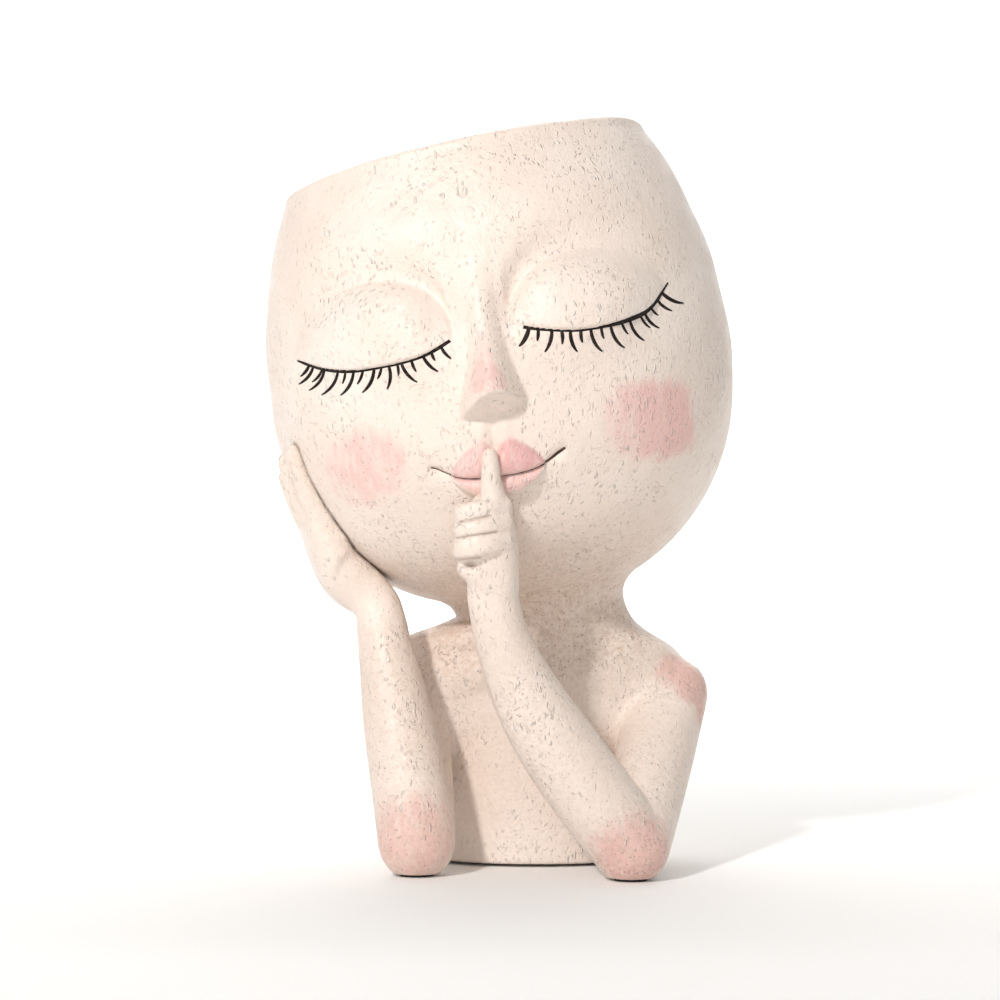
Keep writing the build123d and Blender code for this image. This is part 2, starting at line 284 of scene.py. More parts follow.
def settle(points: Array, edges: Array, weight: Array, rounds: int) -> Array:
    """Points drawn towards the mean of their neighbours, round after round.

    Args:
        points: Places, shape (n, 3).
        edges: Neighbours, shape (m, 2).
        weight: How far each point goes towards that mean in a round, from 0 to 1.
        rounds: How many rounds.

    Returns:
        The new places.
    """
    edges = edges[(weight[edges] > 0).any(axis=1)]
    first, second = edges.T
    size = len(points)
    count = np.maximum(np.bincount(first, minlength=size) + np.bincount(second, minlength=size), 1)
    for _ in range(rounds):
        sums = [
            np.bincount(first, points[second, axis], size) + np.bincount(second, points[first, axis], size)
            for axis in range(3)
        ]
        points = points + weight[:, None] * (np.stack(sums, axis=-1) / count[:, None] - points)
    return points


def line_distance(points: Array, start: tuple, end: tuple) -> Array:
    """Distance of points from a straight line between two places.

    Args:
        points: Places, shape (..., 3).
        start: One end.
        end: Other end.

    Returns:
        One distance per point.
    """
    start, along = np.array(start), np.array(end) - np.array(start)
    way = np.clip((points - start) @ along / (along @ along), 0, 1)
    return np.linalg.norm(points - start - way[..., None] * along, axis=-1)


def nearest_distance(points: Array, others: Array, batch: int = 2000) -> Array:
    """Distance of each point from the nearest of the others, worked out a batch at a time.

    Args:
        points: Places, shape (..., 3).
        others: Places to measure to.
        batch: How many points to take at a time.

    Returns:
        One distance per point.
    """
    parts = [points[start:start + batch] for start in range(0, len(points), batch)]
    gaps = [np.linalg.norm(part[:, None] - others[None], axis=-1).min(axis=1) for part in parts]
    return np.concatenate(gaps)


def tube(path: Array, half_sizes: Array, flat: Array, sides: int = 28, power: float = 2.0) -> Skin:
    """Limb: an oval carried along a path, with rounded ends.

    Each ring is a superellipse of the given power whose axes lie across the path and along the flat
    direction. The ends close with five rings that shrink as the cosine of a quarter turn while they
    move on by its sine.

    Args:
        path: Centres, shape (n, 3).
        half_sizes: Half width and half thickness at each centre, shape (n, 2).
        flat: Direction that the thickness is measured along, shape (3,) or (n, 3).
        sides: Points in a ring.
        power: Superellipse power; 2 is an ellipse.

    Returns:
        The limb.
    """
    path = np.asarray(path, float)
    sizes = np.asarray(half_sizes, float)
    along = unit(np.gradient(path, axis=0))
    turn = np.linspace(0, np.pi / 2, 6)[1:, None]
    ends = []
    for index, sense in ((0, -1), (-1, 1)):
        reach = sizes[index].min()
        centres = path[index] + sense * along[index] * reach * np.sin(turn)
        shrunk = np.maximum(sizes[index] * np.cos(turn), reach / 50)
        ends.append((centres[::sense], shrunk[::sense], np.repeat(along[index][None], len(turn), 0)))
    centres = np.concatenate([ends[0][0], path, ends[1][0]])
    radii = np.concatenate([ends[0][1], sizes, ends[1][1]])
    tangents = np.concatenate([ends[0][2], along, ends[1][2]])
    flats = np.broadcast_to(np.asarray(flat, float), path.shape)
    flats = np.concatenate([np.repeat(flats[:1], len(turn), 0), flats, np.repeat(flats[-1:], len(turn), 0)])
    across = unit(np.cross(tangents, flats))
    upright = np.cross(across, tangents)
    angle = np.linspace(0, 2 * np.pi, sides, endpoint=False)
    wide = np.sign(np.cos(angle)) * np.abs(np.cos(angle)) ** (2 / power)
    thick = np.sign(np.sin(angle)) * np.abs(np.sin(angle)) ** (2 / power)
    points = (
        centres[:, None]
        + across[:, None] * (radii[:, :1] * wide)[..., None]
        + upright[:, None] * (radii[:, 1:] * thick)[..., None]
    )
    rows = len(centres)
    faces = grid_quads(rows, sides, False, True)[:, ::-1].tolist()
    faces.append(list(range(sides)))
    faces.append(list(range(rows * sides - 1, (rows - 1) * sides - 1, -1)))
    return Skin(points.reshape(-1, 3), faces)


def round_tube(path: Array, radii: Array, sides: int = 28) -> Skin:
    """Limb with round sections; the flat direction only has to lie across every limb."""
    flat = np.array([0.31, 0.95, 0.05])
    return tube(path, np.stack([radii, radii], axis=-1), flat, sides)


@dataclass(frozen=True)
class HeadForm:
    """The leaning egg that the head is modelled on.

    At a level the egg is an ellipse whose size share follows a superellipse, fuller in the jaw than
    in the crown. Its own frame has x to the figure's left, y back and z up the leaning axis.
    """

    half_width: float = 64.4
    half_depth: float = 60.0
    jaw: float = 66.5
    crown: float = 93.5
    jaw_power: float = 2.22
    crown_power: float = 1.94
    side: float = -9.9
    forward: float = 5.0
    level: float = 137.0
    lean_degrees: float = 7.8

    def share(self, z: Array) -> Array:
        """Share of the full width at a level: (1 - (z / height)^power)^(1 / power).

        Args:
            z: Levels.

        Returns:
            Shares from 0 to 1.
        """
        z = np.asarray(z, float)
        height = np.where(z < 0, self.jaw, self.crown)
        power = np.where(z < 0, self.jaw_power, self.crown_power)
        return np.maximum(1 - np.abs(z / height) ** power, 1e-9) ** (1 / power)

    def slope(self, z: Array) -> Array:
        """Rate at which that share changes with the level.

        Args:
            z: Levels.

        Returns:
            Slopes per millimetre.
        """
        z = np.asarray(z, float)
        height = np.where(z < 0, self.jaw, self.crown)
        power = np.where(z < 0, self.jaw_power, self.crown_power)
        ratio = np.clip(np.abs(z / height), 1e-6, 0.9995)
        return -np.sign(z) * ratio ** (power - 1) / height * (1 - ratio**power) ** (1 / power - 1)

    def skin(self, angle: Array, z: Array) -> Array:
        """Points at an angle from straight ahead (radians, positive to +X) and a level.

        Args:
            angle: Angles from straight ahead, radians.
            z: Levels.

        Returns:
            Points in the head's frame.
        """
        share = self.share(z)
        x = self.half_width * share * np.sin(angle)
        y = -self.half_depth * share * np.cos(angle)
        return np.stack(np.broadcast_arrays(x, y, z), axis=-1)

    def normal(self, points: Array) -> Array:
        """Outward directions at points of the egg, from the gradient of its equation.

        Args:
            points: Points of the egg, in its own frame.

        Returns:
            Unit vectors.
        """
        x, y, z = np.moveaxis(points, -1, 0)
        lift = -self.share(z) * self.slope(z)
        return unit(np.stack([x / self.half_width**2, y / self.half_depth**2, lift], axis=-1))

    def angle_at(self, x: Array, z: Array) -> Array:
        """Angle at which the front of the egg reaches a sideways distance."""
        return np.arcsin(np.clip(x / (self.half_width * self.share(z)), -1, 1))

    def to_world(self, points: Array) -> Array:
        """Points of the head's frame, about the drain axis.

        Args:
            points: Points in the head's frame.

        Returns:
            Points about the drain axis.
        """
        lean = np.radians(self.lean_degrees)
        x, y, z = np.moveaxis(points, -1, 0)
        world_x = x * np.cos(lean) - z * np.sin(lean) + self.side
        world_z = x * np.sin(lean) + z * np.cos(lean) + self.level
        return np.stack([world_x, y - self.forward, world_z], axis=-1)

    def from_world(self, points: Array) -> Array:
        """Points about the drain axis, in the head's frame.

        Args:
            points: Points about the drain axis.

        Returns:
            Points in the head's frame.
        """
        lean = np.radians(self.lean_degrees)
        x = points[..., 0] - self.side
        z = points[..., 2] - self.level
        own_x = x * np.cos(lean) + z * np.sin(lean)
        own_z = -x * np.sin(lean) + z * np.cos(lean)
        return np.stack([own_x, points[..., 1] + self.forward, own_z], axis=-1)

    def depth_of(self, points: Array) -> Array:
        """About how far points about the drain axis lie outside the egg (negative inside).

        Args:
            points: Points about the drain axis.

        Returns:
            Distances in millimetres.
        """
        own = self.from_world(points)
        z = np.clip(own[..., 2], -self.jaw * 0.999, self.crown * 0.999)
        reach = np.hypot(own[..., 0] / self.half_width, own[..., 1] / self.half_depth)
        flat = (reach - self.share(z)) * self.half_depth
        tilt = np.hypot(1, self.slope(z) * self.half_depth)
        return flat / tilt

    def off(self, angle_degrees: Array, z: Array, stand_off: Array) -> Array:
        """World points that stand off the egg along its normal."""
        points = self.skin(np.radians(angle_degrees), z)
        return self.to_world(points + self.normal(points) * np.asarray(stand_off)[..., None])


@dataclass(frozen=True)
class Face:
    """Relief of the sleeping face, as heights over the egg at a side x and a level z."""

    middle: float = -3.3
    eye_roll_degrees: float = 4.0
    eye_centre: float = 29.0
    eye_half: float = 21.2
    lid_bulge: float = 4.3
    lid_ledge: float = 1.25
    brow_hollow: float = 1.7
    brow_height: float = 1.1
    crease_groove: float = 0.4
    corner_hollow: float = 1.9
    nose_reach: float = 10.4
    nose_tip: float = -8.3
    nose_base: float = -15.0
    nose_top: float = 34.0
    nose_tilt: float = 0.09
    nose_softness: float = 0.62
    mouth_middle: float = -4.3
    lip_half: float = 12.2
    lip_reach: float = 2.5
    upper_lip: float = 9.9
    lower_lip: float = 5.6
    mouth_half: float = 17.2
    mouth_level: float = -29.8
    mouth_rise: float = 4.0
    mouth_groove: float = 0.85
    mouth_corner: float = 0.9
    mouth_mound: float = 1.5
    philtrum_depth: float = 0.75
    philtrum_sides: float = 0.4
    chin_height: float = 1.5
    under_lip_hollow: float = 1.1
    cheek_height: float = 1.2
    right_crease: float = 10.4
    left_crease: float = 7.6
    crease_rise: float = 16.0
    right_lash: tuple = (
        (-1.05, 7.4), (-0.64, 4.1), (-0.38, 3.5), (-0.13, 3.6), (0.19, 4.2),
        (0.44, 5.5), (0.68, 7.5), (0.94, 10.9), (1.06, 12.6),
    )
    left_lash: tuple = (
        (-1.05, 8.3), (-0.81, 5.7), (-0.55, 3.8), (-0.25, 2.4), (0.06, 2.2),
        (0.39, 2.8), (0.74, 5.1), (1.03, 10.7), (1.06, 11.4),
    )

    def eye_frame(self, x: Array, z: Array) -> tuple:
        """Eye coordinates: share along the eye from nose (-1) to temple (1), and the rolled level.

        Args:
            x: Sides.
            z: Levels.

        Returns:
            Share along the eye, level in the rolled frame and side in the rolled frame.
        """
        roll = np.radians(self.eye_roll_degrees)
        across = x - self.middle
        u = across * np.cos(roll) + z * np.sin(roll)
        w = -across * np.sin(roll) + z * np.cos(roll)
        return (np.abs(u) - self.eye_centre) / self.eye_half, w, u

    def eye_point(self, side: Side, share: Array, w: Array) -> tuple:
        """Side and level on the face of a place in eye coordinates.

        Args:
            side: Which side.
            share: Places along the eye, from -1 at the nose to 1.
            w: Levels in the eye's rolled frame.

        Returns:
            Sides and levels.
        """
        roll = np.radians(self.eye_roll_degrees)
        u = side.value * (self.eye_centre + self.eye_half * share)
        x = u * np.cos(roll) - w * np.sin(roll) + self.middle
        return x, u * np.sin(roll) + w * np.cos(roll)

    def lash_level(self, share: Array, left: Array) -> Array:
        """Lower edge of the closed lid: a hanging curve through measured places of each eye.

        Args:
            share: Places along the eye, from -1 at the nose to 1.
            left: True on the figure's left eye.

        Returns:
            Levels in the rolled frame.
        """
        right_rows = np.array(self.right_lash)
        left_rows = np.array(self.left_lash)
        on_right = through(right_rows[:, 0], right_rows[:, 1], share)
        return np.where(left, through(left_rows[:, 0], left_rows[:, 1], share), on_right)

    def crease_level(self, share: Array, left: Array) -> Array:
        """Upper edge of the lid: half an ellipse over the eye."""
        foot = np.where(left, self.left_crease, self.right_crease)
        return foot + self.crease_rise * np.sqrt(np.maximum(1 - np.clip(share, -1, 1) ** 2, 0))

    def lids(self, x: Array, z: Array) -> Array:
        """Closed lids: a dome under the crease, a ledge along the lashes and a hollow under the brow.

        Args:
            x: Sides.
            z: Levels.

        Returns:
            Heights over the egg.
        """
        share, w, u = self.eye_frame(x, z)
        lash = self.lash_level(share, u > 0)
        crease = np.maximum(self.crease_level(share, u > 0), lash + 1.0)
        outward = ramp(share, -0.3, 0.7)
        wide = np.maximum(1 - share**2, 0) ** (0.6 + 0.7 * outward)
        up = (w - lash) / (crease - lash)
        crisp = np.where(u > 0, 0.74, 0.95) + 1.1 * outward
        over = np.maximum(1 - ((up - 0.3) / 0.7) ** 2, 0) ** crisp
        below = np.maximum(lash - w, 0)
        under = 0.816**crisp * (1 - ramp(below, 0, 11))
        dome = self.lid_bulge * wide * np.where(w >= lash, np.where(up < 1, over, 0), under)
        fade = (1 - ramp(below, 1.5, 10)) * np.maximum(1 - np.abs(share) ** 5, 0)
        ledge = self.lid_ledge * ramp(lash - w, -0.45, 0.25) * fade
        rise = w - crease
        near = np.exp(-((share / 1.08) ** 4))
        inward = (1 + 0.8 * bell(share, -0.8, 0.5)) * (1 - 0.8 * outward)
        hollow = self.brow_hollow * bell(rise, 2.6, 4.8) * near * inward
        groove = self.crease_groove * bell(rise, 0.3, 1.2) * near * (1 - outward)
        corner = self.corner_hollow * bell(np.abs(u), 10.5, 4.2) * bell(w, 13.0, 8.5)
        brow = self.brow_height * bell(w, 37.0, 6.5) * np.exp(-(((np.abs(u) - 27) / 22) ** 4))
        return dome - ledge - hollow - groove - corner + brow

    def nose(self, x: Array, z: Array) -> Array:
        """Nose: a ridge that rises as a power of the way down, cut below by a sloping flat.

        Args:
            x: Sides.
            z: Levels.

        Returns:
            Heights over the egg.
        """
        across = np.abs(x - self.middle - 0.3)
        way = np.clip((self.nose_top - z) / (self.nose_top - self.nose_tip), 0, 1.3)
        ridge = self.nose_reach * np.minimum(way, 1.06) ** 2.55
        half = 4.1 + 5.1 * np.clip((16.0 - z) / 28.0, 0, 1) ** 2
        section = np.maximum(1 - (across / half) ** 1.9, 0) ** 1.3
        body = ridge * section
        wing = np.where(x > self.middle, 2.6, 0.9) * np.minimum(across / half, 1.2) ** 3
        base = self.nose_base + self.nose_tilt * (x - self.middle) + wing
        under = np.maximum((z - base) * 1.5, 0)
        soft = self.nose_softness
        return np.maximum(-soft * np.log(np.exp(-body / soft) + np.exp(-under / soft)), 0)

    def smile_level(self, x: Array) -> Array:
        """Line between the lips, level in the middle and turned up at both corners."""
        share = np.abs(x - self.mouth_middle) / self.mouth_half
        return self.mouth_level + self.mouth_rise * np.minimum(share, 1.1) ** 3.2

    def lip_shares(self, x: Array, z: Array) -> tuple:
        """How far up the upper lip and down the lower lip a place lies (0 at the line, 1 at the edge).

        Args:
            x: Sides.
            z: Levels.

        Returns:
            Shares of the upper lip and of the lower lip.
        """
        across = np.abs(x - self.mouth_middle)
        line = self.smile_level(x)
        reach = np.minimum(across / self.lip_half, 1)
        cupid = 1 - 0.38 * bell(across, 0, 2.2)
        upper = self.upper_lip * np.maximum(1 - reach**1.8, 1e-6) ** 0.75 * cupid
        dip = 1 - 0.07 * bell(across, 0, 2.5)
        lower = self.lower_lip * np.maximum(1 - reach**2.4, 1e-6) ** 0.7 * dip
        outside = np.where(across < self.lip_half, 0, 9)
        return (z - line) / upper + outside, (line - z) / lower + outside

    def lip_mask(self, x: Array, z: Array) -> Array:
        """1 on the lips and 0 off them, with an edge as soft as a brush leaves.

        Args:
            x: Sides.
            z: Levels.

        Returns:
            Shares from 0 to 1.
        """
        up, down = self.lip_shares(x, z)
        share = np.where(up >= 0, up, down)
        full = np.where(up >= 0, 0.72 + 0.28 * ramp(x - self.mouth_middle, -6, 6), 0.66)
        return full * (1 - ramp(share, 0.84, 1.1))

    def mouth(self, x: Array, z: Array) -> Array:
        """Lips as two rolls that part along the smile line, with corners pressed in and a chin below.

        Args:
            x: Sides.
            z: Levels.

        Returns:
            Heights over the egg.
        """
        across = x - self.mouth_middle
        up, down = self.lip_shares(x, z)
        upper = np.maximum(1 - (2 * np.clip(up, 0, 1) - 0.8) ** 2 / 1.44, 0) ** 0.75
        lower = np.maximum(1 - (2 * np.clip(down, 0, 1) - 0.9) ** 2 / 1.21, 0) ** 0.75
        taper = np.maximum(1 - (np.abs(across) / (self.lip_half * 1.04)) ** 3, 0) ** 0.6
        roll = np.where(up >= 0, np.where(up < 1, upper, 0), np.where(down < 1, lower, 0)) * taper
        line = z - self.smile_level(x)
        reach = 1 - ramp(np.abs(across), self.mouth_half - 1.2, self.mouth_half + 0.6)
        groove = self.mouth_groove * bell(line, 0, 0.55) * reach
        corner = self.mouth_corner * bell(np.abs(across), 15.6, 2.6) * bell(line, -0.4, 1.9)
        mound = self.mouth_mound * bell(across, 0, 17) * bell(z, -28, 11)
        middle = ramp(z, -25.5, -22.5) * (1 - ramp(z, -17.5, -14.5))
        philtrum = self.philtrum_depth * bell(across, 0, 1.7) * middle
        beside = ramp(z, -25.0, -22.0) * (1 - ramp(z, -18.0, -15.0))
        column = self.philtrum_sides * bell(np.abs(across), 3.2, 1.6) * beside
        chin = self.chin_height * bell(across, 0.5, 14) * bell(z, -46, 8)
        under = self.under_lip_hollow * bell(across, 0, 9) * bell(z, -38.4, 2.6)
        return self.lip_reach * roll - groove - corner + mound - philtrum + column + chin - under

    def height(self, x: Array, z: Array) -> Array:
        """Whole relief, with round cheeks beside the mouth.

        Args:
            x: Sides.
            z: Levels.

        Returns:
            Heights over the egg.
        """
        across = np.abs(x - self.middle)
        cheeks = self.cheek_height * bell(across, 35, 15) * bell(z, -21, 13)
        return self.lids(x, z) + self.nose(x, z) + self.mouth(x, z) + cheeks


@dataclass(frozen=True)
class BlushSpot:
    """A dab of pink, as a soft ball about the drain axis."""

    centre: tuple
    radius: float
    strength: float
    soft: float = 0.45

    def mask(self, points: Array) -> Array:
        """Strength of the dab at points: full inside, fading over the soft share of its radius."""
        reach = np.linalg.norm(points - np.array(self.centre), axis=-1) / self.radius
        return self.strength * (1 - ramp(reach, 1 - self.soft, 1 + self.soft))


@dataclass
class HeadPot:
    """Hollow head: face, rim, bowl and drain hole as one shell."""

    form: HeadForm = HeadForm()
    face: Face = Face()
    wall: float = 7.0
    floor: float = 10.0
    rim_level: float = 58.2
    rim_lean_degrees: float = 4.5
    rim_pitch_degrees: float = 1.5
    rim_round: float = 2.2
    rim_power: float = 2.6
    rim_ripple: float = 0.12
    drain_radius: float = 8.0
    columns: int = 344
    outer_rows: int = 214
    rim_rows: int = 13
    inner_rows: int = 34
    close_columns: tuple = ((-1.08, 1.08, 4.6, 0.12),)
    close_rows: tuple = ((-37.5, 27.0, 4.2, 2.5), (-34.0, -21.0, 2.4, 1.5))
    fixed_level: float = 36.0
    foot_share: float = 0.9965
    bowl_foot_share: float = 0.99
    slow_wobble: float = 0.16
    fine_wobble: float = 0.12
    right_cheek: tuple = (-38.5, -23.0, 10.8, 10.6)
    right_cheek_pink: float = 0.62
    left_cheek: tuple = (36.8, -21.0, 13.6, 11.8)
    left_cheek_power: float = 3.4
    nose_pink: float = 0.6
    jaw_darkening: float = 0.75

    def rim_at(self, form: HeadForm, angle: Array) -> Array:
        """Level where a form meets the rim's tilted plane, found by repeating the plane's equation.

        Args:
            form: The egg.
            angle: Angles from straight ahead, radians.

        Returns:
            Levels in the form's frame.
        """
        level = np.full_like(angle, self.rim_level)
        for _ in range(30):
            points = form.skin(angle, level)
            lift = points[..., 0] * np.tan(np.radians(self.rim_lean_degrees))
            level = self.rim_level + lift - points[..., 1] * np.tan(np.radians(self.rim_pitch_degrees))
        return level

    def wobble(self, angle: Array, z: Array) -> Array:
        """Slow unevenness of a hand-finished casting: sines of the angle and the level."""
        slow = self.slow_wobble * np.sin(angle * 5 + z * 0.11) * np.sin(z * 0.17 + 1.3)
        return slow + self.fine_wobble * np.sin(angle * 9 - z * 0.23)

    def relief_skin(self, angle: Array, z: Array) -> Array:
        """Outer skin: the egg pushed out along its normal by the face's relief and a slow unevenness.

        Args:
            angle: Angles from straight ahead, radians.
            z: Levels.

        Returns:
            Points in the head's frame.
        """
        points = self.form.skin(angle, z)
        front = ramp(np.cos(angle), 0.02, 0.25)
        relief = self.face.height(points[..., 0], z) * front
        uneven = self.wobble(angle, z) * ramp(self.form.share(z), 0.4, 0.7)
        return points + self.form.normal(points) * (relief + uneven)[..., None]

    def pole(self) -> Array:
        """Place of the drain axis at the egg's foot, in the head's frame."""
        return self.form.from_world(np.array([0.0, 0.0, self.form.level - self.form.jaw]))

    def drain_shift(self, points: Array, share: Array) -> Array:
        """Moves the rings round the pole over the drain axis, fading out up the bowl."""
        fade = (1 - ramp(share, 0.18, 0.6))[..., None]
        return points + fade * self.pole() * np.array([1.0, 1.0, 0.0])

    def bowl(self) -> HeadForm:
        """The egg of the bowl, smaller by the wall and the floor.

        Returns:
            The bowl's egg.
        """
        return replace(
            self.form,
            half_width=self.form.half_width - self.wall,
            half_depth=self.form.half_depth - self.wall,
            jaw=self.form.jaw - self.floor,
            crown=self.form.crown - self.wall,
        )

    def rim_roll(self, outer: Array, inner: Array, angle: Array) -> Array:
        """Rounded rim between two rings: a superellipse across the wall, with a faint ripple round it.

        Args:
            outer: Outer ring.
            inner: Inner ring.
            angle: Angles from straight ahead, radians.

        Returns:
            Rings from the outer to the inner one.
        """
        across = np.linspace(0, np.pi, self.rim_rows)[1:-1, None, None]
        bend = 2 / self.rim_power
        swing = np.sign(np.cos(across)) * np.abs(np.cos(across)) ** bend
        ripple = 0.25 * np.sin(angle * 7 + 0.5) + 0.18 * np.sin(angle * 13 + 2.0)
        lift = self.rim_round * np.sin(across) ** bend * (1 + self.rim_ripple * ripple[None, :, None])
        return (outer + inner) / 2 + (outer - inner) / 2 * swing + np.array([0, 0, 1.0]) * lift

    def shell(self) -> tuple:
        """The whole shell as a grid: out from the drain hole, up the face, over the rim and down inside.

        Returns:
            Points in the head's own frame, shape (rows, columns, 3), and the outer row count.
        """
        angle = spaced(-np.pi, np.pi, self.columns + 1, self.close_columns)[:-1]
        rim = self.rim_at(self.form, angle) - self.rim_round
        top = self.rim_level - self.rim_round
        base = spaced(-self.form.jaw * self.foot_share, top, self.outer_rows, self.close_rows)[:, None]
        stretch = (rim - self.fixed_level) / (top - self.fixed_level)
        stretched = self.fixed_level + (base - self.fixed_level) * stretch
        levels = np.where(base > self.fixed_level, stretched, base)
        outer = self.relief_skin(angle[None], levels)
        outer = self.drain_shift(outer, self.form.share(levels))
        bowl = self.bowl()
        inner_rim = self.rim_at(bowl, angle) - self.rim_round
        turn = np.linspace(0, np.pi / 2, self.inner_rows)[:, None]
        inner_levels = inner_rim - (inner_rim + bowl.jaw * self.bowl_foot_share) * np.sin(turn)
        inner = bowl.skin(angle[None], inner_levels)
        inner = self.drain_shift(inner, bowl.share(inner_levels))
        rim_points = self.rim_roll(outer[-1], inner[0], angle)
        hole = self.hole(angle)
        return np.concatenate([hole[:1], outer, rim_points, inner, hole[1:]]), len(outer)

    def hole(self, angle: Array) -> Array:
        """Rings of the drain hole: at the outer foot, just under the bowl's floor and half way down.

        Args:
            angle: Angles from straight ahead, radians.

        Returns:
            Rings, shape (3, n, 3).
        """
        low = -self.form.jaw * 0.9995
        high = -self.form.jaw + self.floor
        pole = self.pole()
        x = self.drain_radius * np.sin(angle) + pole[0]
        y = -self.drain_radius * np.cos(angle) + pole[1]
        levels = np.array([low, high - 0.2, (low + high) / 2])[:, None]
        return np.stack(np.broadcast_arrays(x, y, levels), axis=-1)

    def blush(self, own: Array) -> Array:
        """Pink on the cheeks and the tip of the nose, by side and level on the face.

        Args:
            own: Points in the head's frame.

        Returns:
            Shares from 0 to 1.
        """
        x, y, z = np.moveaxis(own, -1, 0)
        side, level, half_width, half_height = self.right_cheek
        reach = np.hypot((x - side) / half_width, (z - level) / half_height)
        right = self.right_cheek_pink * (1 - ramp(reach, 0.6, 1.3))
        side, level, half_width, half_height = self.left_cheek
        power = self.left_cheek_power
        sums = np.abs((x - side) / half_width) ** power + np.abs((z - level) / half_height) ** power
        left = (0.55 + 0.45 * ramp(x, 27.0, 41.0)) * (1 - ramp(sums ** (1 / power), 0.6, 1.15))
        across = np.abs(x - self.face.middle + 0.5)
        half = 1.6 + 3.8 * ramp(-z, -7.0, 9.0)
        upright = ramp(z, -9.6, -8.4) * (1 - ramp(z, 3.0, 10.0))
        tip = self.nose_pink * (1 - ramp(across / half, 0.45, 1.2)) * upright
        return (right + left + tip) * ramp(-y, 5, 15)

    def build(self) -> bpy.types.Object:
        """Builds the shell with its colour attributes.

        Returns:
            The head as an object.
        """
        own, outer_rows = self.shell()
        rows, columns = own.shape[:2]
        world = self.form.to_world(own).reshape(-1, 3)
        faces = grid_quads(rows, columns, True, True).tolist()
        data = Skin(world, faces).mesh("head_pot_shell")
        flat = own.reshape(-1, 3)
        outside = (np.repeat(np.arange(rows), columns) <= outer_rows).astype(float)
        set_attribute(data, "blush", self.blush(flat) * outside)
        lips = self.face.lip_mask(flat[:, 0], flat[:, 2]) * (flat[:, 1] < -20) * outside
        set_attribute(data, "lip", lips)
        # Darker brown towards the foot of the head.
        set_attribute(data, "grime_and_shade", self.jaw_darkening * (1 - ramp(flat[:, 2], -58, -40)) * outside)
        return place(data)

    def on_face(self, x: Array, z: Array, lift: Array) -> Array:
        """World points on the finished face, raised along the egg's normal.

        Args:
            x: Sides.
            z: Levels.
            lift: Height over the skin.

        Returns:
            Points about the drain axis.
        """
        angle = self.form.angle_at(x, z)
        raised = self.form.normal(self.form.skin(angle, z)) * np.asarray(lift)[..., None]
        return self.form.to_world(self.relief_skin(angle, z) + raised)


@dataclass(frozen=True)
class Stroke:
    """One painted lash: where it leaves the lid, its length, its lean and its share of the full width."""

    share: float
    length: float
    lean_degrees: float
    width: float = 1.0


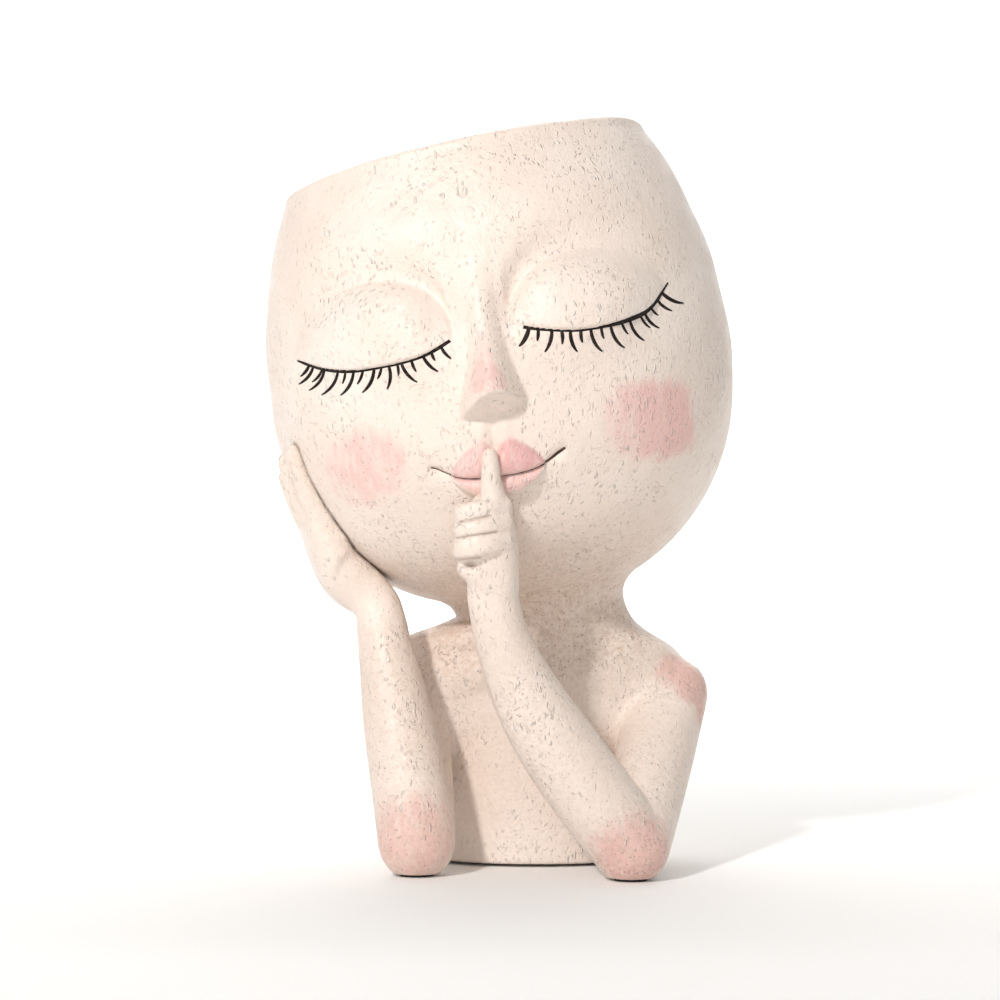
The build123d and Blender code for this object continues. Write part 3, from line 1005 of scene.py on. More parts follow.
@dataclass
class FacePaint:
    """Dark painted lines: lashes, lid lines and the line of the mouth, as thin raised ribbons."""

    head: HeadPot
    right_lashes: tuple = (
        Stroke(0.82, 3.8, 54), Stroke(0.77, 6.2, 57), Stroke(0.65, 4.6, 58, 0.9),
        Stroke(0.62, 7.2, 56), Stroke(0.43, 8.2, 56), Stroke(0.33, 3.3, 34, 0.85),
        Stroke(0.22, 7.6, 50), Stroke(0.10, 3.9, 42, 0.85), Stroke(-0.04, 7.2, 46),
        Stroke(-0.13, 3.2, 36, 0.8), Stroke(-0.22, 6.1, 24, 0.95), Stroke(-0.32, 2.9, 12, 0.8),
        Stroke(-0.37, 6.2, -27, 0.95), Stroke(-0.49, 3.1, -9, 0.85), Stroke(-0.63, 5.4, -33, 0.95),
        Stroke(-0.73, 2.3, -12, 0.85), Stroke(-0.85, 4.1, -30, 0.9),
    )
    left_lashes: tuple = (
        Stroke(-0.80, 5.4, -42, 1.25), Stroke(-0.70, 3.0, -16, 0.95), Stroke(-0.55, 5.8, -30),
        Stroke(-0.44, 3.4, -8, 0.95), Stroke(-0.34, 5.7, 13), Stroke(-0.22, 3.1, 2, 0.95),
        Stroke(-0.10, 6.7, 24), Stroke(0.03, 3.0, 8, 0.85), Stroke(0.15, 7.2, 29),
        Stroke(0.30, 3.6, 26, 0.85), Stroke(0.42, 7.0, 31), Stroke(0.58, 4.4, 34, 0.85),
        Stroke(0.65, 5.8, 38), Stroke(0.75, 3.0, 38, 0.8), Stroke(0.86, 5.0, 45, 0.9),
        Stroke(0.94, 6.6, 58, 1.1),
    )
    lash_bend_degrees: float = 25.0
    full_bend_length: float = 6.5
    lash_width: float = 0.92
    lid_line_width: float = 0.95
    right_lid: tuple = (-0.97, 0.96, 0.35)
    left_lid: tuple = (-0.86, 1.04, 0.7)
    mouth_line_width: float = 0.66
    thinnest_line: float = 0.14
    rise: float = 0.24
    bury: float = 0.35
    drop: float = 0.3

    def ribbon(self, x: Array, z: Array, widths: Array) -> Skin:
        """Ribbon along a line of the face: a flat arch across the line, laid on the relief.

        The arch has five points whose heights follow a power of a cosine, from the skin at both
        edges to the rise in the middle, and a second row under the skin closes it.

        Args:
            x: Sides of the line's points.
            z: Levels of the line's points.
            widths: Full width at each point.

        Returns:
            The closed ribbon.
        """
        along = unit(np.stack([np.gradient(x), np.gradient(z)], axis=-1))
        across = np.stack([-along[:, 1], along[:, 0]], axis=-1)
        share = np.linspace(-0.5, 0.5, 5)
        spread = widths[:, None] * share
        side = x[:, None] + across[:, :1] * spread
        level = z[:, None] + across[:, 1:] * spread
        arch = np.cos(share * np.pi) ** 0.6 * self.rise
        top = self.head.on_face(side, level, np.broadcast_to(arch, side.shape))
        bottom = self.head.on_face(side, level, np.full(side.shape, -self.bury))
        rings = np.concatenate([top, bottom[:, ::-1]], axis=1)
        rows, columns = rings.shape[:2]
        faces = grid_quads(rows, columns, False, True).tolist()
        faces.append(list(range(columns - 1, -1, -1)))
        faces.append(list(range((rows - 1) * columns, rows * columns)))
        return Skin(rings.reshape(-1, 3), faces)

    def lash(self, side: Side, stroke: Stroke) -> Skin:
        """One lash: an arc that leaves the lid downwards and curls towards its lean, thin at the tip.

        Args:
            side: Which side.
            stroke: The lash.

        Returns:
            The lash's ribbon.
        """
        face = self.head.face
        t = np.linspace(0, 1, 9)
        full = min(stroke.length / self.full_bend_length, 1)
        bend = np.sign(stroke.lean_degrees) * self.lash_bend_degrees * full
        lean = np.radians(stroke.lean_degrees + bend * (2 * t - 1))
        step = stroke.length / (len(t) - 1)
        u = np.concatenate([[0], np.cumsum(np.sin(lean[:-1]) * step)]) / face.eye_half
        w = np.concatenate([[0], -np.cumsum(np.cos(lean[:-1]) * step)])
        start = float(face.lash_level(np.array(stroke.share), side is Side.LEFT)) - self.drop
        x, z = face.eye_point(side, stroke.share + u, start + w)
        width = self.lash_width * stroke.width * (1 - 0.5 * t**4) * (0.85 + 0.2 * np.sin(t * np.pi))
        return self.ribbon(x, z, width)

    def lid_line(self, side: Side) -> Skin:
        """Line along the lid's edge, heavier towards the temple.

        Args:
            side: Which side.

        Returns:
            The line's ribbon.
        """
        start, end, heavier = self.left_lid if side is Side.LEFT else self.right_lid
        share = np.linspace(start, end, 90)
        level = self.head.face.lash_level(share, side is Side.LEFT) - self.drop
        x, z = self.head.face.eye_point(side, share, level)
        ends = 1 - 0.6 * ramp(share, 0.85, 1.0)
        outer = ramp(share, -0.1, 0.5) * heavier
        width = self.lid_line_width * (0.62 + outer + 0.3 * bell(share, -0.9, 0.25)) * ends
        return self.ribbon(x, z, width)

    def mouth_line(self) -> Skin:
        """Line between the lips, thin in the middle and heavier at the corners.

        Returns:
            The line's ribbon.
        """
        face = self.head.face
        x = np.linspace(face.mouth_middle - face.mouth_half, face.mouth_middle + face.mouth_half + 0.6, 70)
        share = np.abs(x - face.mouth_middle) / face.mouth_half
        lean = 0.5 + 0.5 * ramp(x - face.mouth_middle, -4, 12)
        width = self.mouth_line_width * (0.3 + 0.9 * bell(share, 0.92, 0.25)) * lean
        return self.ribbon(x, face.smile_level(x), np.maximum(width, self.thinnest_line))

    def build(self) -> list:
        """Builds the painted lines.

        Returns:
            The lashes of each eye and the mouth's line as objects.
        """
        made = []
        rows = (
            (Side.RIGHT, self.right_lashes, "right_lashes"),
            (Side.LEFT, self.left_lashes, "left_lashes"),
        )
        for side, strokes, name in rows:
            skins = [self.lid_line(side)] + [self.lash(side, stroke) for stroke in strokes]
            made.append(place(Skin.joined(skins).mesh(name)))
        made.append(place(self.mouth_line().mesh("mouth_line")))
        return made


@dataclass
class Arm:
    """One arm: shoulder, elbow and the forearm's measured run to the wrist."""

    side: Side
    shoulder: tuple
    elbow: tuple
    forearm: tuple
    shoulder_radius: float = 10.4
    elbow_radius: float = 10.4
    swell: float = 0.35
    yoke_start: tuple = (15.0, -7.0, 52.0)
    yoke_shift: tuple = (0.0, -0.6, 0.6)
    yoke_radii: tuple = (12.2, 10.2)
    seat_offset: float = 0.6
    seat_reach: float = 30.0

    def upper(self) -> Skin:
        """Upper arm: a round limb from the shoulder's ball to the elbow's.

        Returns:
            The limb.
        """
        way = np.linspace(0, 1, 9)[:, None]
        path = np.array(self.shoulder) * (1 - way) + np.array(self.elbow) * way
        swell = self.swell * np.sin(way[:, 0] * np.pi)
        radii = self.shoulder_radius * (1 - way[:, 0]) + self.elbow_radius * way[:, 0] + swell
        return round_tube(path, radii)

    def yoke(self) -> Skin:
        """Flesh between the chest and the shoulder: a round limb that fills the hollow over the armpit.

        Returns:
            The limb.
        """
        side, back, level = self.yoke_start
        inner = np.array([self.side.value * side, back, level])
        outer = np.array(self.shoulder) + np.array(self.yoke_shift)
        way = np.linspace(0, 1, 7)[:, None]
        first, last = self.yoke_radii
        return round_tube(inner * (1 - way) + outer * way, first + (last - first) * way[:, 0])

    def lower(self) -> Skin:
        """Forearm: a round limb along a cubic curve from the elbow through its stations."""
        run = stations(((*self.elbow, self.elbow_radius), *self.forearm), 26)
        return round_tube(run[:, :3], run[:, 3])

    def seat(self) -> tuple:
        """Point and direction of the plane, between the two limbs, where the forearm meets the upper arm.

        Returns:
            The point and the unit direction.
        """
        elbow = np.array(self.elbow)
        upwards = unit(np.array(self.shoulder) - elbow)
        onwards = unit(np.array(self.forearm[1][:3]) - elbow)
        between = unit(upwards - onwards)
        return elbow + between * self.seat_offset, between


@dataclass
class CheekHand:
    """Open right hand: four fingers side by side up the cheek, and a thumb behind the jaw."""

    form: HeadForm
    wrist: tuple
    arm_run: tuple = (0.27, -0.22, -0.94)
    arm_overlap: float = 9.0
    first_angle: float = -65.2
    fan: float = -6.9
    tip_fan_share: float = 0.9
    finger_radius: float = 3.75
    tip_radius: float = 2.75
    finger_sink: float = 0.5
    tip_levels: tuple = (-16.6, -18.2, -22.4, -28.2)
    knuckle_level: float = -37.0
    knuckle_overlap: float = 4.0
    knuckle_stand_off: float = 2.1
    palm_turn: float = 2.5
    palm_drop: float = 9.5
    palm_stand_off: float = 5.1
    palm_facing_drop: float = 10.0
    palm_sizes: tuple = ((6.6, 6.8), (6.5, 6.4), (9.4, 7.0), (12.8, 6.8), (13.2, 4.4))
    palm_power: float = 2.4
    heel_share: float = 0.45
    thumb_root: tuple = (-2.5, 4.5, 5.0)
    thumb_fan: float = 4.3
    thumb_rows: tuple = ((4.0, -49.5, 3.2), (-1.0, -41.0, 2.4), (-3.0, -35.5, 1.8))
    thumb_radii: tuple = (4.6, 2.9)

    def fingers(self) -> list:
        """Fingers: round limbs that follow the egg's skin from the knuckles to their tips.

        Returns:
            One limb per finger.
        """
        made = []
        way = np.linspace(0, 1, 9)
        foot = self.knuckle_level - self.knuckle_overlap
        for index, tip_level in enumerate(self.tip_levels):
            base_angle = self.first_angle + self.fan * index
            tip_angle = self.first_angle + self.fan * self.tip_fan_share * index
            angle = base_angle + (tip_angle - base_angle) * way
            level = foot + (tip_level - foot) * way
            radius = self.finger_radius + (self.tip_radius - self.finger_radius) * way**1.3
            radius = radius * (1 + 0.04 * bell(way, 0.55, 0.1))
            made.append(round_tube(self.form.off(angle, level, radius * self.finger_sink), radius, 20))
        return made

    def palm(self) -> Skin:
        """Palm: a flattened limb from the wrist to the knuckles, its flat side to the cheek.

        Returns:
            The limb.
        """
        middle = self.first_angle + self.fan * (len(self.tip_levels) - 1) / 2
        level = self.knuckle_level
        knuckle = self.form.off(middle, np.array(level), self.knuckle_stand_off)
        mid = self.form.off(middle + self.palm_turn, np.array(level - self.palm_drop), self.palm_stand_off)
        wrist = np.array(self.wrist)
        heel = wrist * (1 - self.heel_share) + mid * self.heel_share
        centres = np.stack([wrist + np.array(self.arm_run) * self.arm_overlap, wrist, heel, mid, knuckle])
        run = stations(np.concatenate([centres, np.array(self.palm_sizes)], axis=1), 24)
        points = self.form.skin(np.radians(middle), np.array(level - self.palm_facing_drop))
        out = self.form.to_world(points + self.form.normal(points)) - self.form.to_world(points)
        return tube(run[:, :3], run[:, 3:], out, 32, self.palm_power)

    def thumb(self) -> Skin:
        """Thumb: from the heel of the hand up behind the jaw.

        Returns:
            The limb.
        """
        last = self.first_angle + self.fan * self.thumb_fan
        turns, levels, stand_offs = np.array(self.thumb_rows).T
        root = np.array(self.wrist) + np.array(self.thumb_root)
        run = stations(np.concatenate([root[None], self.form.off(last + turns, levels, stand_offs)]), 14)
        return round_tube(run, np.linspace(*self.thumb_radii, len(run)), 20)

    def skins(self) -> list:
        """All parts of the hand."""
        return [self.palm(), self.thumb(), *self.fingers()]


@dataclass
class ShushHand:
    """Left hand: a loose fist before the chin with the first finger raised to the lips."""

    back: tuple = (
        (-11.6, -56.5, 74.0, 6.7, 6.3),
        (-11.7, -58.2, 80.5, 6.9, 6.6),
        (-12.6, -59.6, 86.5, 7.6, 6.6),
        (-12.9, -60.4, 92.5, 7.5, 5.9),
        (-12.0, -61.0, 98.0, 5.6, 4.4),
    )
    pointing: tuple = (
        (-10.6, -60.6, 93.0, 4.2),
        (-11.2, -63.0, 98.5, 3.8),
        (-12.1, -65.2, 104.5, 2.85),
        (-12.3, -66.0, 109.6, 2.35),
        (-12.4, -65.9, 111.4, 2.15),
    )
    curled: tuple = (
        ((-9.0, -63.2, 98.6), (-13.6, -66.0, 97.8), (-18.4, -65.6, 96.9), (-19.6, -61.5, 96.6)),
        ((-8.6, -63.6, 94.2), (-13.6, -66.5, 93.3), (-18.6, -66.0, 92.4), (-19.8, -61.5, 92.1)),
        ((-8.8, -63.4, 89.4), (-13.6, -66.4, 88.4), (-18.6, -65.8, 87.5), (-19.8, -61.5, 87.2)),
    )
    curled_heights: tuple = (2.35, 2.3, 2.75)
    curled_depth: float = 2.7
    thumb: tuple = (
        (-12.0, -60.5, 78.5, 4.2),
        (-16.4, -62.2, 80.6, 3.3),
        (-18.6, -62.4, 82.2, 2.5),
    )
    grooves: tuple = (
        ((-20.8, 94.2), (-12.2, 95.9), 0.6),
        ((-20.8, 90.2), (-10.6, 91.8), 0.55),
        ((-20.6, 84.6), (-15.0, 85.2), 0.3),
    )
    groove_half: float = 0.32
    # Painted shade in the grooves and the recess.
    groove_shade: float = 0.55
    recess: tuple = (-17.4, 83.2)
    recess_half: tuple = (3.0, 1.2)
    recess_depth: float = 1.5
    front: float = -61.0
    fist_foot: float = 79.0
    back_power: float = 2.3
    curled_power: float = 2.8

    def carve(self, data: bpy.types.Mesh) -> Array:
        """Sinks the grooves between the curled fingers and the recess over the thumb into a mesh, and paints
        shade in them.

        Points in front of the fist's middle go back along Y by a bell curve of their distance from
        each groove's line, as seen from the front.

        Args:
            data: The forearm's mesh, changed in place.

        Returns:
            How much painted shade lies on each point, from 0 to 1.
        """
        points = mesh_points(data)
        seen = points[:, ::2]
        facing = ramp(-points[:, 1], -self.front, -self.front + 2)
        sink = np.zeros(len(points))
        dark = np.zeros(len(points))
        for start, end, depth in self.grooves:
            cut = bell(line_distance(seen, start, end), 0, self.groove_half)
            sink = np.maximum(sink, depth * cut)
            dark = np.maximum(dark, self.groove_shade * cut)
        reach = np.linalg.norm((seen - np.array(self.recess)) / np.array(self.recess_half), axis=-1)
        hollow = bell(reach, 0, 0.8)
        sink = np.maximum(sink, self.recess_depth * hollow)
        dark = np.maximum(dark, self.groove_shade * bell(reach, 0, 0.6))
        points[:, 1] += sink * facing
        set_points(data, points)
        return dark * facing

    def skins(self) -> list:
        """All parts of the hand.

        Returns:
            Back, raised finger, thumb and curled fingers.
        """
        back = stations(self.back, 16)
        made = [tube(back[:, :3], back[:, 3:], np.array([0.0, 1.0, 0.1]), 32, self.back_power)]
        for rows, count in ((self.pointing, 18), (self.thumb, 10)):
            run = stations(rows, count)
            made.append(round_tube(run[:, :3], run[:, 3], 20))
        for rows, height in zip(self.curled, self.curled_heights):
            run = stations(rows, 18)
            sizes = np.broadcast_to([self.curled_depth, height], (len(run), 2))
            made.append(tube(run, sizes, np.array([0.0, 0.0, 1.0]), 24, self.curled_power))
        return made


@dataclass
class Bust:
    """Trunk with both arms, modelled together and then parted at the elbows."""

    form: HeadForm
    right_arm: Arm
    left_arm: Arm
    cheek_hand: CheekHand
    shush_hand: ShushHand
    foot: float = 0.8
    bore: float = 8.0
    plug_bore: float = 6.5
    recess: float = 11.0
    recess_depth: float = 3.6
    voxel: float = 0.65
    quick_voxel: float = 1.0
    smoothing: int = 7
    soften_share: float = 0.5
    fillet: float = 4.6
    fillet_bury: float = 2.5
    fillet_spread: float = 1.7
    throat: tuple = (18.0, 78.5)
    neck_level: float = 76.0
    bore_foot: float = 14.5
    plug_top: float = 14.0
    sole_radius: float = 20.0
    trunk_power: float = 2.25
    trunk_rows: int = 70
    trunk_columns: int = 96
    forearm_divide: float = -20.0
    blends: tuple = (
        ((29.5, -14.0, 46.0), 15.5),
        ((-28.5, -14.0, 46.0), 15.5),
        ((40.0, -4.0, 56.0), 6.0),
        ((-45.5, -23.5, 76.0), 10.0),
        ((-52.0, -23.0, 85.0), 8.0),
        ((-14.0, -64.0, 78.5), 6.5),
    )
    blend_rounds: int = 100
    blend_share: float = 0.6
    sections: tuple = (
        (0.8, 30.4, -30.4, 23.4),
        (8.0, 29.7, -29.5, 22.8),
        (22.0, 29.2, -28.5, 21.6),
        (34.0, 31.6, -30.5, 20.4),
        (44.0, 38.3, -36.9, 19.4),
        (52.0, 41.9, -40.2, 18.6),
        (58.0, 39.8, -38.8, 18.2),
        (60.5, 36.2, -37.6, 18.3),
        (62.5, 32.8, -34.6, 18.4),
        (64.5, 29.8, -28.6, 18.7),
        (66.5, 27.7, -24.0, 19.0),
        (69.5, 25.9, -22.3, 19.4),
        (72.5, 24.9, -22.0, 19.8),
        (75.5, 24.6, -22.0, 20.2),
    )

    def head_level(self, x: Array, y: Array) -> Array:
        """Level of the egg's underside over places of the floor plan, by repeating the egg's equation.

        Args:
            x: Sides.
            y: Places from front to back.

        Returns:
            Levels about the drain axis.
        """
        power = self.form.jaw_power
        z = np.full(np.shape(x), self.form.level - self.form.jaw)
        for _ in range(12):
            own = self.form.from_world(np.stack([x, y, z], axis=-1))
            reach = np.hypot(own[..., 0] / self.form.half_width, own[..., 1] / self.form.half_depth)
            under = -self.form.jaw * (1 - np.minimum(reach, 0.99) ** power) ** (1 / power)
            z = z + under - own[..., 2]
        return z

    def trunk(self) -> Skin:
        """Trunk: level superellipses up a cubic outline, closed inwards by the drain bore.

        The grid runs up the outside to a fillet under the head, which is a quarter circle measured
        from the egg's underside, then down the bore and out across the plug's recess and the
        underside, so that it closes on itself.

        Returns:
            The closed trunk.
        """
        rows = np.array(self.sections)
        levels = np.linspace(rows[0, 0], rows[-1, 0], self.trunk_rows)
        sizes = through(rows[:, 0], rows[:, 1:], levels)
        angle = np.linspace(0, 2 * np.pi, self.trunk_columns, endpoint=False)
        power = 2 / self.trunk_power
        wide = np.sign(np.cos(angle)) * np.abs(np.cos(angle)) ** power
        deep = np.sign(np.sin(angle)) * np.abs(np.sin(angle)) ** power
        x = sizes[:, :2].mean(axis=1)[:, None] + (sizes[:, :1] - sizes[:, 1:2]) / 2 * wide
        y = sizes[:, 2:] * deep
        top = self.head_level(x[-1], y[-1]) - self.fillet
        outside = np.stack([x, y, np.minimum(levels[:, None], top)], axis=-1)
        turn = np.linspace(0, np.pi / 2, 9)[1:, None]
        spread = np.concatenate([self.fillet * (1 - np.cos(turn)), [[self.fillet * self.fillet_spread]]])
        gap = np.concatenate([self.fillet * (1 - np.sin(turn)), [[-self.fillet_bury]]])
        away = unit(np.stack([x[-1] - sizes[-1, :2].mean(), y[-1]], axis=-1))
        fillet_x = x[-1] + spread * away[:, 0]
        fillet_y = y[-1] + spread * away[:, 1]
        fillet = np.stack([fillet_x, fillet_y, self.head_level(fillet_x, fillet_y) - gap], axis=-1)
        seat = self.foot + self.recess_depth
        rings = (
            self.throat, (self.bore, self.neck_level), (self.bore, self.bore_foot),
            (self.plug_bore, self.plug_top), (self.plug_bore, seat), (self.recess, seat),
            (self.recess, self.foot), (self.sole_radius, self.foot),
        )
        radius, level = np.array(rings).T[..., None]
        inside = np.stack(
            np.broadcast_arrays(radius * np.cos(angle), radius * np.sin(angle), level), axis=-1
        )
        points = np.concatenate([outside, fillet, inside])
        faces = grid_quads(len(points), len(angle), True, True)
        return Skin(points.reshape(-1, 3), faces.tolist())

    def whole(self) -> bpy.types.Object:
        """Trunk, arms and hands melted into one casting by a voxel remesh and a light smoothing.

        Returns:
            The casting as an object.
        """
        skins = [self.trunk()]
        for arm in (self.right_arm, self.left_arm):
            skins += [arm.upper(), arm.lower(), arm.yoke()]
        skins += self.cheek_hand.skins() + self.shush_hand.skins()
        thing = place(Skin.joined(skins).mesh("whole_bust"))
        melt = thing.modifiers.new("melt", "REMESH")
        melt.mode = "VOXEL"
        melt.voxel_size = self.voxel * MM
        melt.use_smooth_shade = True
        soften = thing.modifiers.new("soften", "SMOOTH")
        soften.factor = self.soften_share
        soften.iterations = self.smoothing
        baked = bpy.data.meshes.new_from_object(thing.evaluated_get(bpy.context.evaluated_depsgraph_get()))
        old = thing.data
        thing.modifiers.clear()
        thing.data = baked
        bpy.data.meshes.remove(old)
        points = mesh_points(baked)
        weight = np.zeros(len(points))
        for centre, radius in self.blends:
            reach = np.linalg.norm(points - np.array(centre), axis=-1) / radius
            weight = np.maximum(weight, self.blend_share * (1 - ramp(reach, 0.5, 1.0)))
        points = settle(points, mesh_edges(baked), weight, self.blend_rounds)
        points[:, 2] = np.maximum(points[:, 2], self.foot)
        set_points(baked, points)
        return thing

    def build(self) -> list:
        """Builds the casting and parts it into trunk and forearms.

        Returns:
            Rows of (object, CAD node it stands for).
        """
        whole = self.whole()
        pieces = []
        for data, node in self.split_parts(whole.data):
            dark = np.zeros(len(data.vertices))
            if node == "left_forearm":
                self.refine(data)
                dark = self.shush_hand.carve(data)
            # Painted shade in the creases: the fist's grooves and recess here, the cheek's crease later.
            set_attribute(data, "crease_shade", dark)
            pieces.append((place(data), node))
        bpy.data.objects.remove(whole)
        return pieces

    def refine(self, data: bpy.types.Mesh) -> None:
        """Halves the faces of the fist so that its grooves come out crisp.

        Args:
            data: The mesh.
        """
        shape = bmesh.new()
        shape.from_mesh(data)
        close = mesh_points(data)[:, 2] > self.shush_hand.fist_foot
        edges = [edge for edge in shape.edges if close[edge.verts[0].index] and close[edge.verts[1].index]]
        bmesh.ops.subdivide_edges(shape, edges=edges, cuts=1, use_grid_fill=True, smooth=0.4)
        for face in shape.faces:
            face.smooth = True
        shape.to_mesh(data)
        shape.free()

    def split_parts(self, source: bpy.types.Mesh) -> list:
        """Casting parted at both elbow seats, near the elbows only.

        Each seat is cut into the mesh, the faces are grouped by walking over the skin without
        crossing a cut, and each group's open ends are closed.

        Args:
            source: The whole casting.

        Returns:
            Rows of (mesh, CAD node it stands for).
        """
        shape = bmesh.new()
        shape.from_mesh(source)
        marked = {}
        points = mesh_points(source)
        for arm in (self.right_arm, self.left_arm):
            point, along = arm.seat()
            centre = (point + DRAIN_AXIS) * MM
            shape.verts.ensure_lookup_table()
            close = np.linalg.norm(points - point, axis=-1) < arm.seat_reach
            near = [shape.verts[index] for index in np.flatnonzero(close)]
            geometry = dict.fromkeys(near)
            for vertex in near:
                geometry.update(dict.fromkeys(vertex.link_edges))
                geometry.update(dict.fromkeys(vertex.link_faces))
            made = bmesh.ops.bisect_plane(
                shape, geom=list(geometry), plane_co=centre.tolist(), plane_no=along.tolist()
            )
            cuts = [item for item in made["geom_cut"] if isinstance(item, bmesh.types.BMEdge)]
            marked.update(dict.fromkeys(cuts))
        bmesh.ops.split_edges(shape, edges=list(marked))
        return self.islands(shape)

    def islands(self, shape: bmesh.types.BMesh) -> list:
        """Loose parts of a mesh, each closed and named by where it stands.

        Args:
            shape: The mesh, freed afterwards.

        Returns:
            Rows of (mesh, CAD node it stands for).
        """
        left_over = set(shape.faces)
        groups = []
        for first in shape.faces:
            if first not in left_over:
                continue
            left_over.remove(first)
            group = [first]
            for face in group:
                linked = [other for edge in face.edges for other in edge.link_faces if other in left_over]
                left_over.difference_update(linked)
                group.extend(dict.fromkeys(linked))
            groups.append(group)
        groups.sort(key=len, reverse=True)
        log.info("casting parts into %s faces", [len(group) for group in groups])
        rows = []
        for group in groups[:3]:
            vertices = dict.fromkeys(vertex for face in group for vertex in face.verts)
            corners = {vertex: index for index, vertex in enumerate(vertices)}
            points = np.array([vertex.co for vertex in corners])
            middle = points.mean(axis=0) / MM - DRAIN_AXIS
            forearm = "right_forearm" if middle[0] < self.forearm_divide else "left_forearm"
            node = forearm if rows else "bust"
            data = bpy.data.meshes.new(f"{node}_casting")
            data.from_pydata(points.tolist(), [], [[corners[v] for v in face.verts] for face in group])
            data.polygons.foreach_set("use_smooth", np.ones(len(data.polygons), dtype=bool))
            self.close_ends(data)
            rows.append((data, node))
        shape.free()
        return rows

    def close_ends(self, data: bpy.types.Mesh) -> None:
        """Fills a mesh's open ends and keeps their rims sharp.

        Args:
            data: The mesh.
        """
        closed = bmesh.new()
        closed.from_mesh(data)
        rim = [edge for edge in closed.edges if edge.is_boundary]
        for edge in rim:
            edge.smooth = False
        bmesh.ops.holes_fill(closed, edges=rim)
        closed.to_mesh(data)
        closed.free()


@dataclass(frozen=True)
class Chip:
    """One layer of short strokes in the resin: which way they run, how long and how many."""

    turn: tuple
    stretch: float
    scale: float
    kept: float
    size: float = 0.28


@dataclass(frozen=True)
class ResinFinish:
    """Cast resin: warm ivory, satin, with pits, short scratches, specks and brushed pink; painted highlights
    on raised strokes, painted shade in dents and creases, painted shade with dust under the head.
    """

    ivory: tuple = (0.885, 0.785, 0.712)
    shade: tuple = (0.835, 0.715, 0.632)
    pink: tuple = (0.80, 0.43, 0.40)
    lip: tuple = (0.74, 0.38, 0.37)
    speck: tuple = (0.17, 0.115, 0.085)
    # Brown for dust and for the painted shade under the head.
    dust_and_shade: tuple = (0.52, 0.365, 0.265)
    # Pale colour laid on the raised strokes as a painted highlight.
    pale_tone: tuple = (0.95, 0.90, 0.86)
    roughness: float = 0.4
    specular: float = 0.42
    dents: tuple = (Chip((0.3, 0.6, 0.2), 0.33, 720, 0.40), Chip((0.0, 0.2, 0.0), 0.60, 900, 0.30))
    dent_patches: float = 75.0
    ridges: tuple = (Chip((0.2, -0.8, 0.1), 0.32, 700, 0.55), Chip((0.9, 1.4, 0.4), 0.36, 660, 0.45))
    ridge_patches: float = 62.0
    blush_uneven: float = 1.25
    blush_cover: float = 0.66
    lip_cover: float = 0.85
    clean_speck_cover: float = 0.5
    crowd_cover: float = 0.95
    dent_shade_and_dirt_cover: float = 0.09
    scratch_cover: float = 0.05
    ridge_highlight_cover: float = 0.55
    grain_height: float = 0.30
    wave_height: float = 0.65
    dent_depth: float = 0.34
    ridge_height: float = 0.66
    scratch_depth: float = 0.3
    relief: float = 0.0006

    def material(self) -> bpy.types.Material:
        """Builds the node material.

        Returns:
            The material.
        """
        tree = Nodes("cast_resin")
        position = tree.position()
        bent = tree.bent(position)
        dents = tree.chips(position, bent, self.dents, self.dent_patches)
        ridges = tree.chips(position, bent, self.ridges, self.ridge_patches)
        scratches = tree.scratches(position)
        grime_and_shade = tree.attribute("grime_and_shade")
        clouds = tree.plus(tree.noise(position, 42, 4, 0.6), tree.noise(position, 14, 2, 0.5))
        base = tree.mix(tree.range(tree.times(clouds, 0.5), 0.40, 0.66), self.shade, self.ivory)
        blush = tree.brush(position, tree.attribute("blush"), self.blush_uneven)
        lip = tree.times(tree.attribute("lip"), tree.strokes(position, 0.30, 0.55, 0.55, 1.0))
        specked = tree.plus(tree.times(grime_and_shade, 1 - self.clean_speck_cover), self.clean_speck_cover)
        dust_and_shade = tree.range(tree.noise(position, 700, 4, 0.7), 0.34, 0.76, 0.2, 0.78)
        crowd = tree.times(tree.dots(position, 800, 0.25, 0.52), tree.times(grime_and_shade, self.crowd_cover))
        broken = tree.range(tree.noise(position, 500, 3, 0.6), 0.3, 0.6, 0.4, 0.85)
        layers = (
            (tree.times(blush, self.blush_cover), self.pink),
            (tree.times(lip, self.lip_cover), self.lip),
            (tree.times(tree.specks(position), specked), self.speck),
            # Dust colour over the mask of grime and painted shade, mottled by noise.
            (tree.times(grime_and_shade, dust_and_shade), self.dust_and_shade),
            # Painted shade and dirt darken the dents.
            (tree.times(dents, self.dent_shade_and_dirt_cover), self.speck),
            (tree.times(scratches, self.scratch_cover), self.speck),
            # Pale painted highlight on the raised strokes.
            (tree.times(ridges, self.ridge_highlight_cover), self.pale_tone),
            (crowd, self.speck),
            # Painted shade in the creases and the fist's grooves, in the speck colour, broken by noise.
            (tree.times(tree.attribute("crease_shade"), broken), self.speck),
        )
        colour = base
        for cover, paint in layers:
            colour = tree.mix(cover, colour, paint)
        tree.link(colour, tree.shader.inputs["Base Color"])
        cloud = tree.noise(position, 160, 3, 0.6)
        rough = tree.range(cloud, 0.3, 0.7, self.roughness - 0.07, self.roughness + 0.12)
        tree.link(rough, tree.shader.inputs["Roughness"])
        tree.shader.inputs["Specular IOR Level"].default_value = self.specular
        rises = (
            (tree.noise(position, 260, 3, 0.6), self.wave_height),
            (dents, -self.dent_depth),
            (ridges, self.ridge_height),
            (scratches, -self.scratch_depth),
        )
        height = tree.times(tree.noise(position, 1000, 3, 0.65), self.grain_height)
        for pattern, rise in rises:
            height = tree.plus(height, tree.times(pattern, rise))
        tree.bump(height, 1.0, self.relief)
        return tree.material


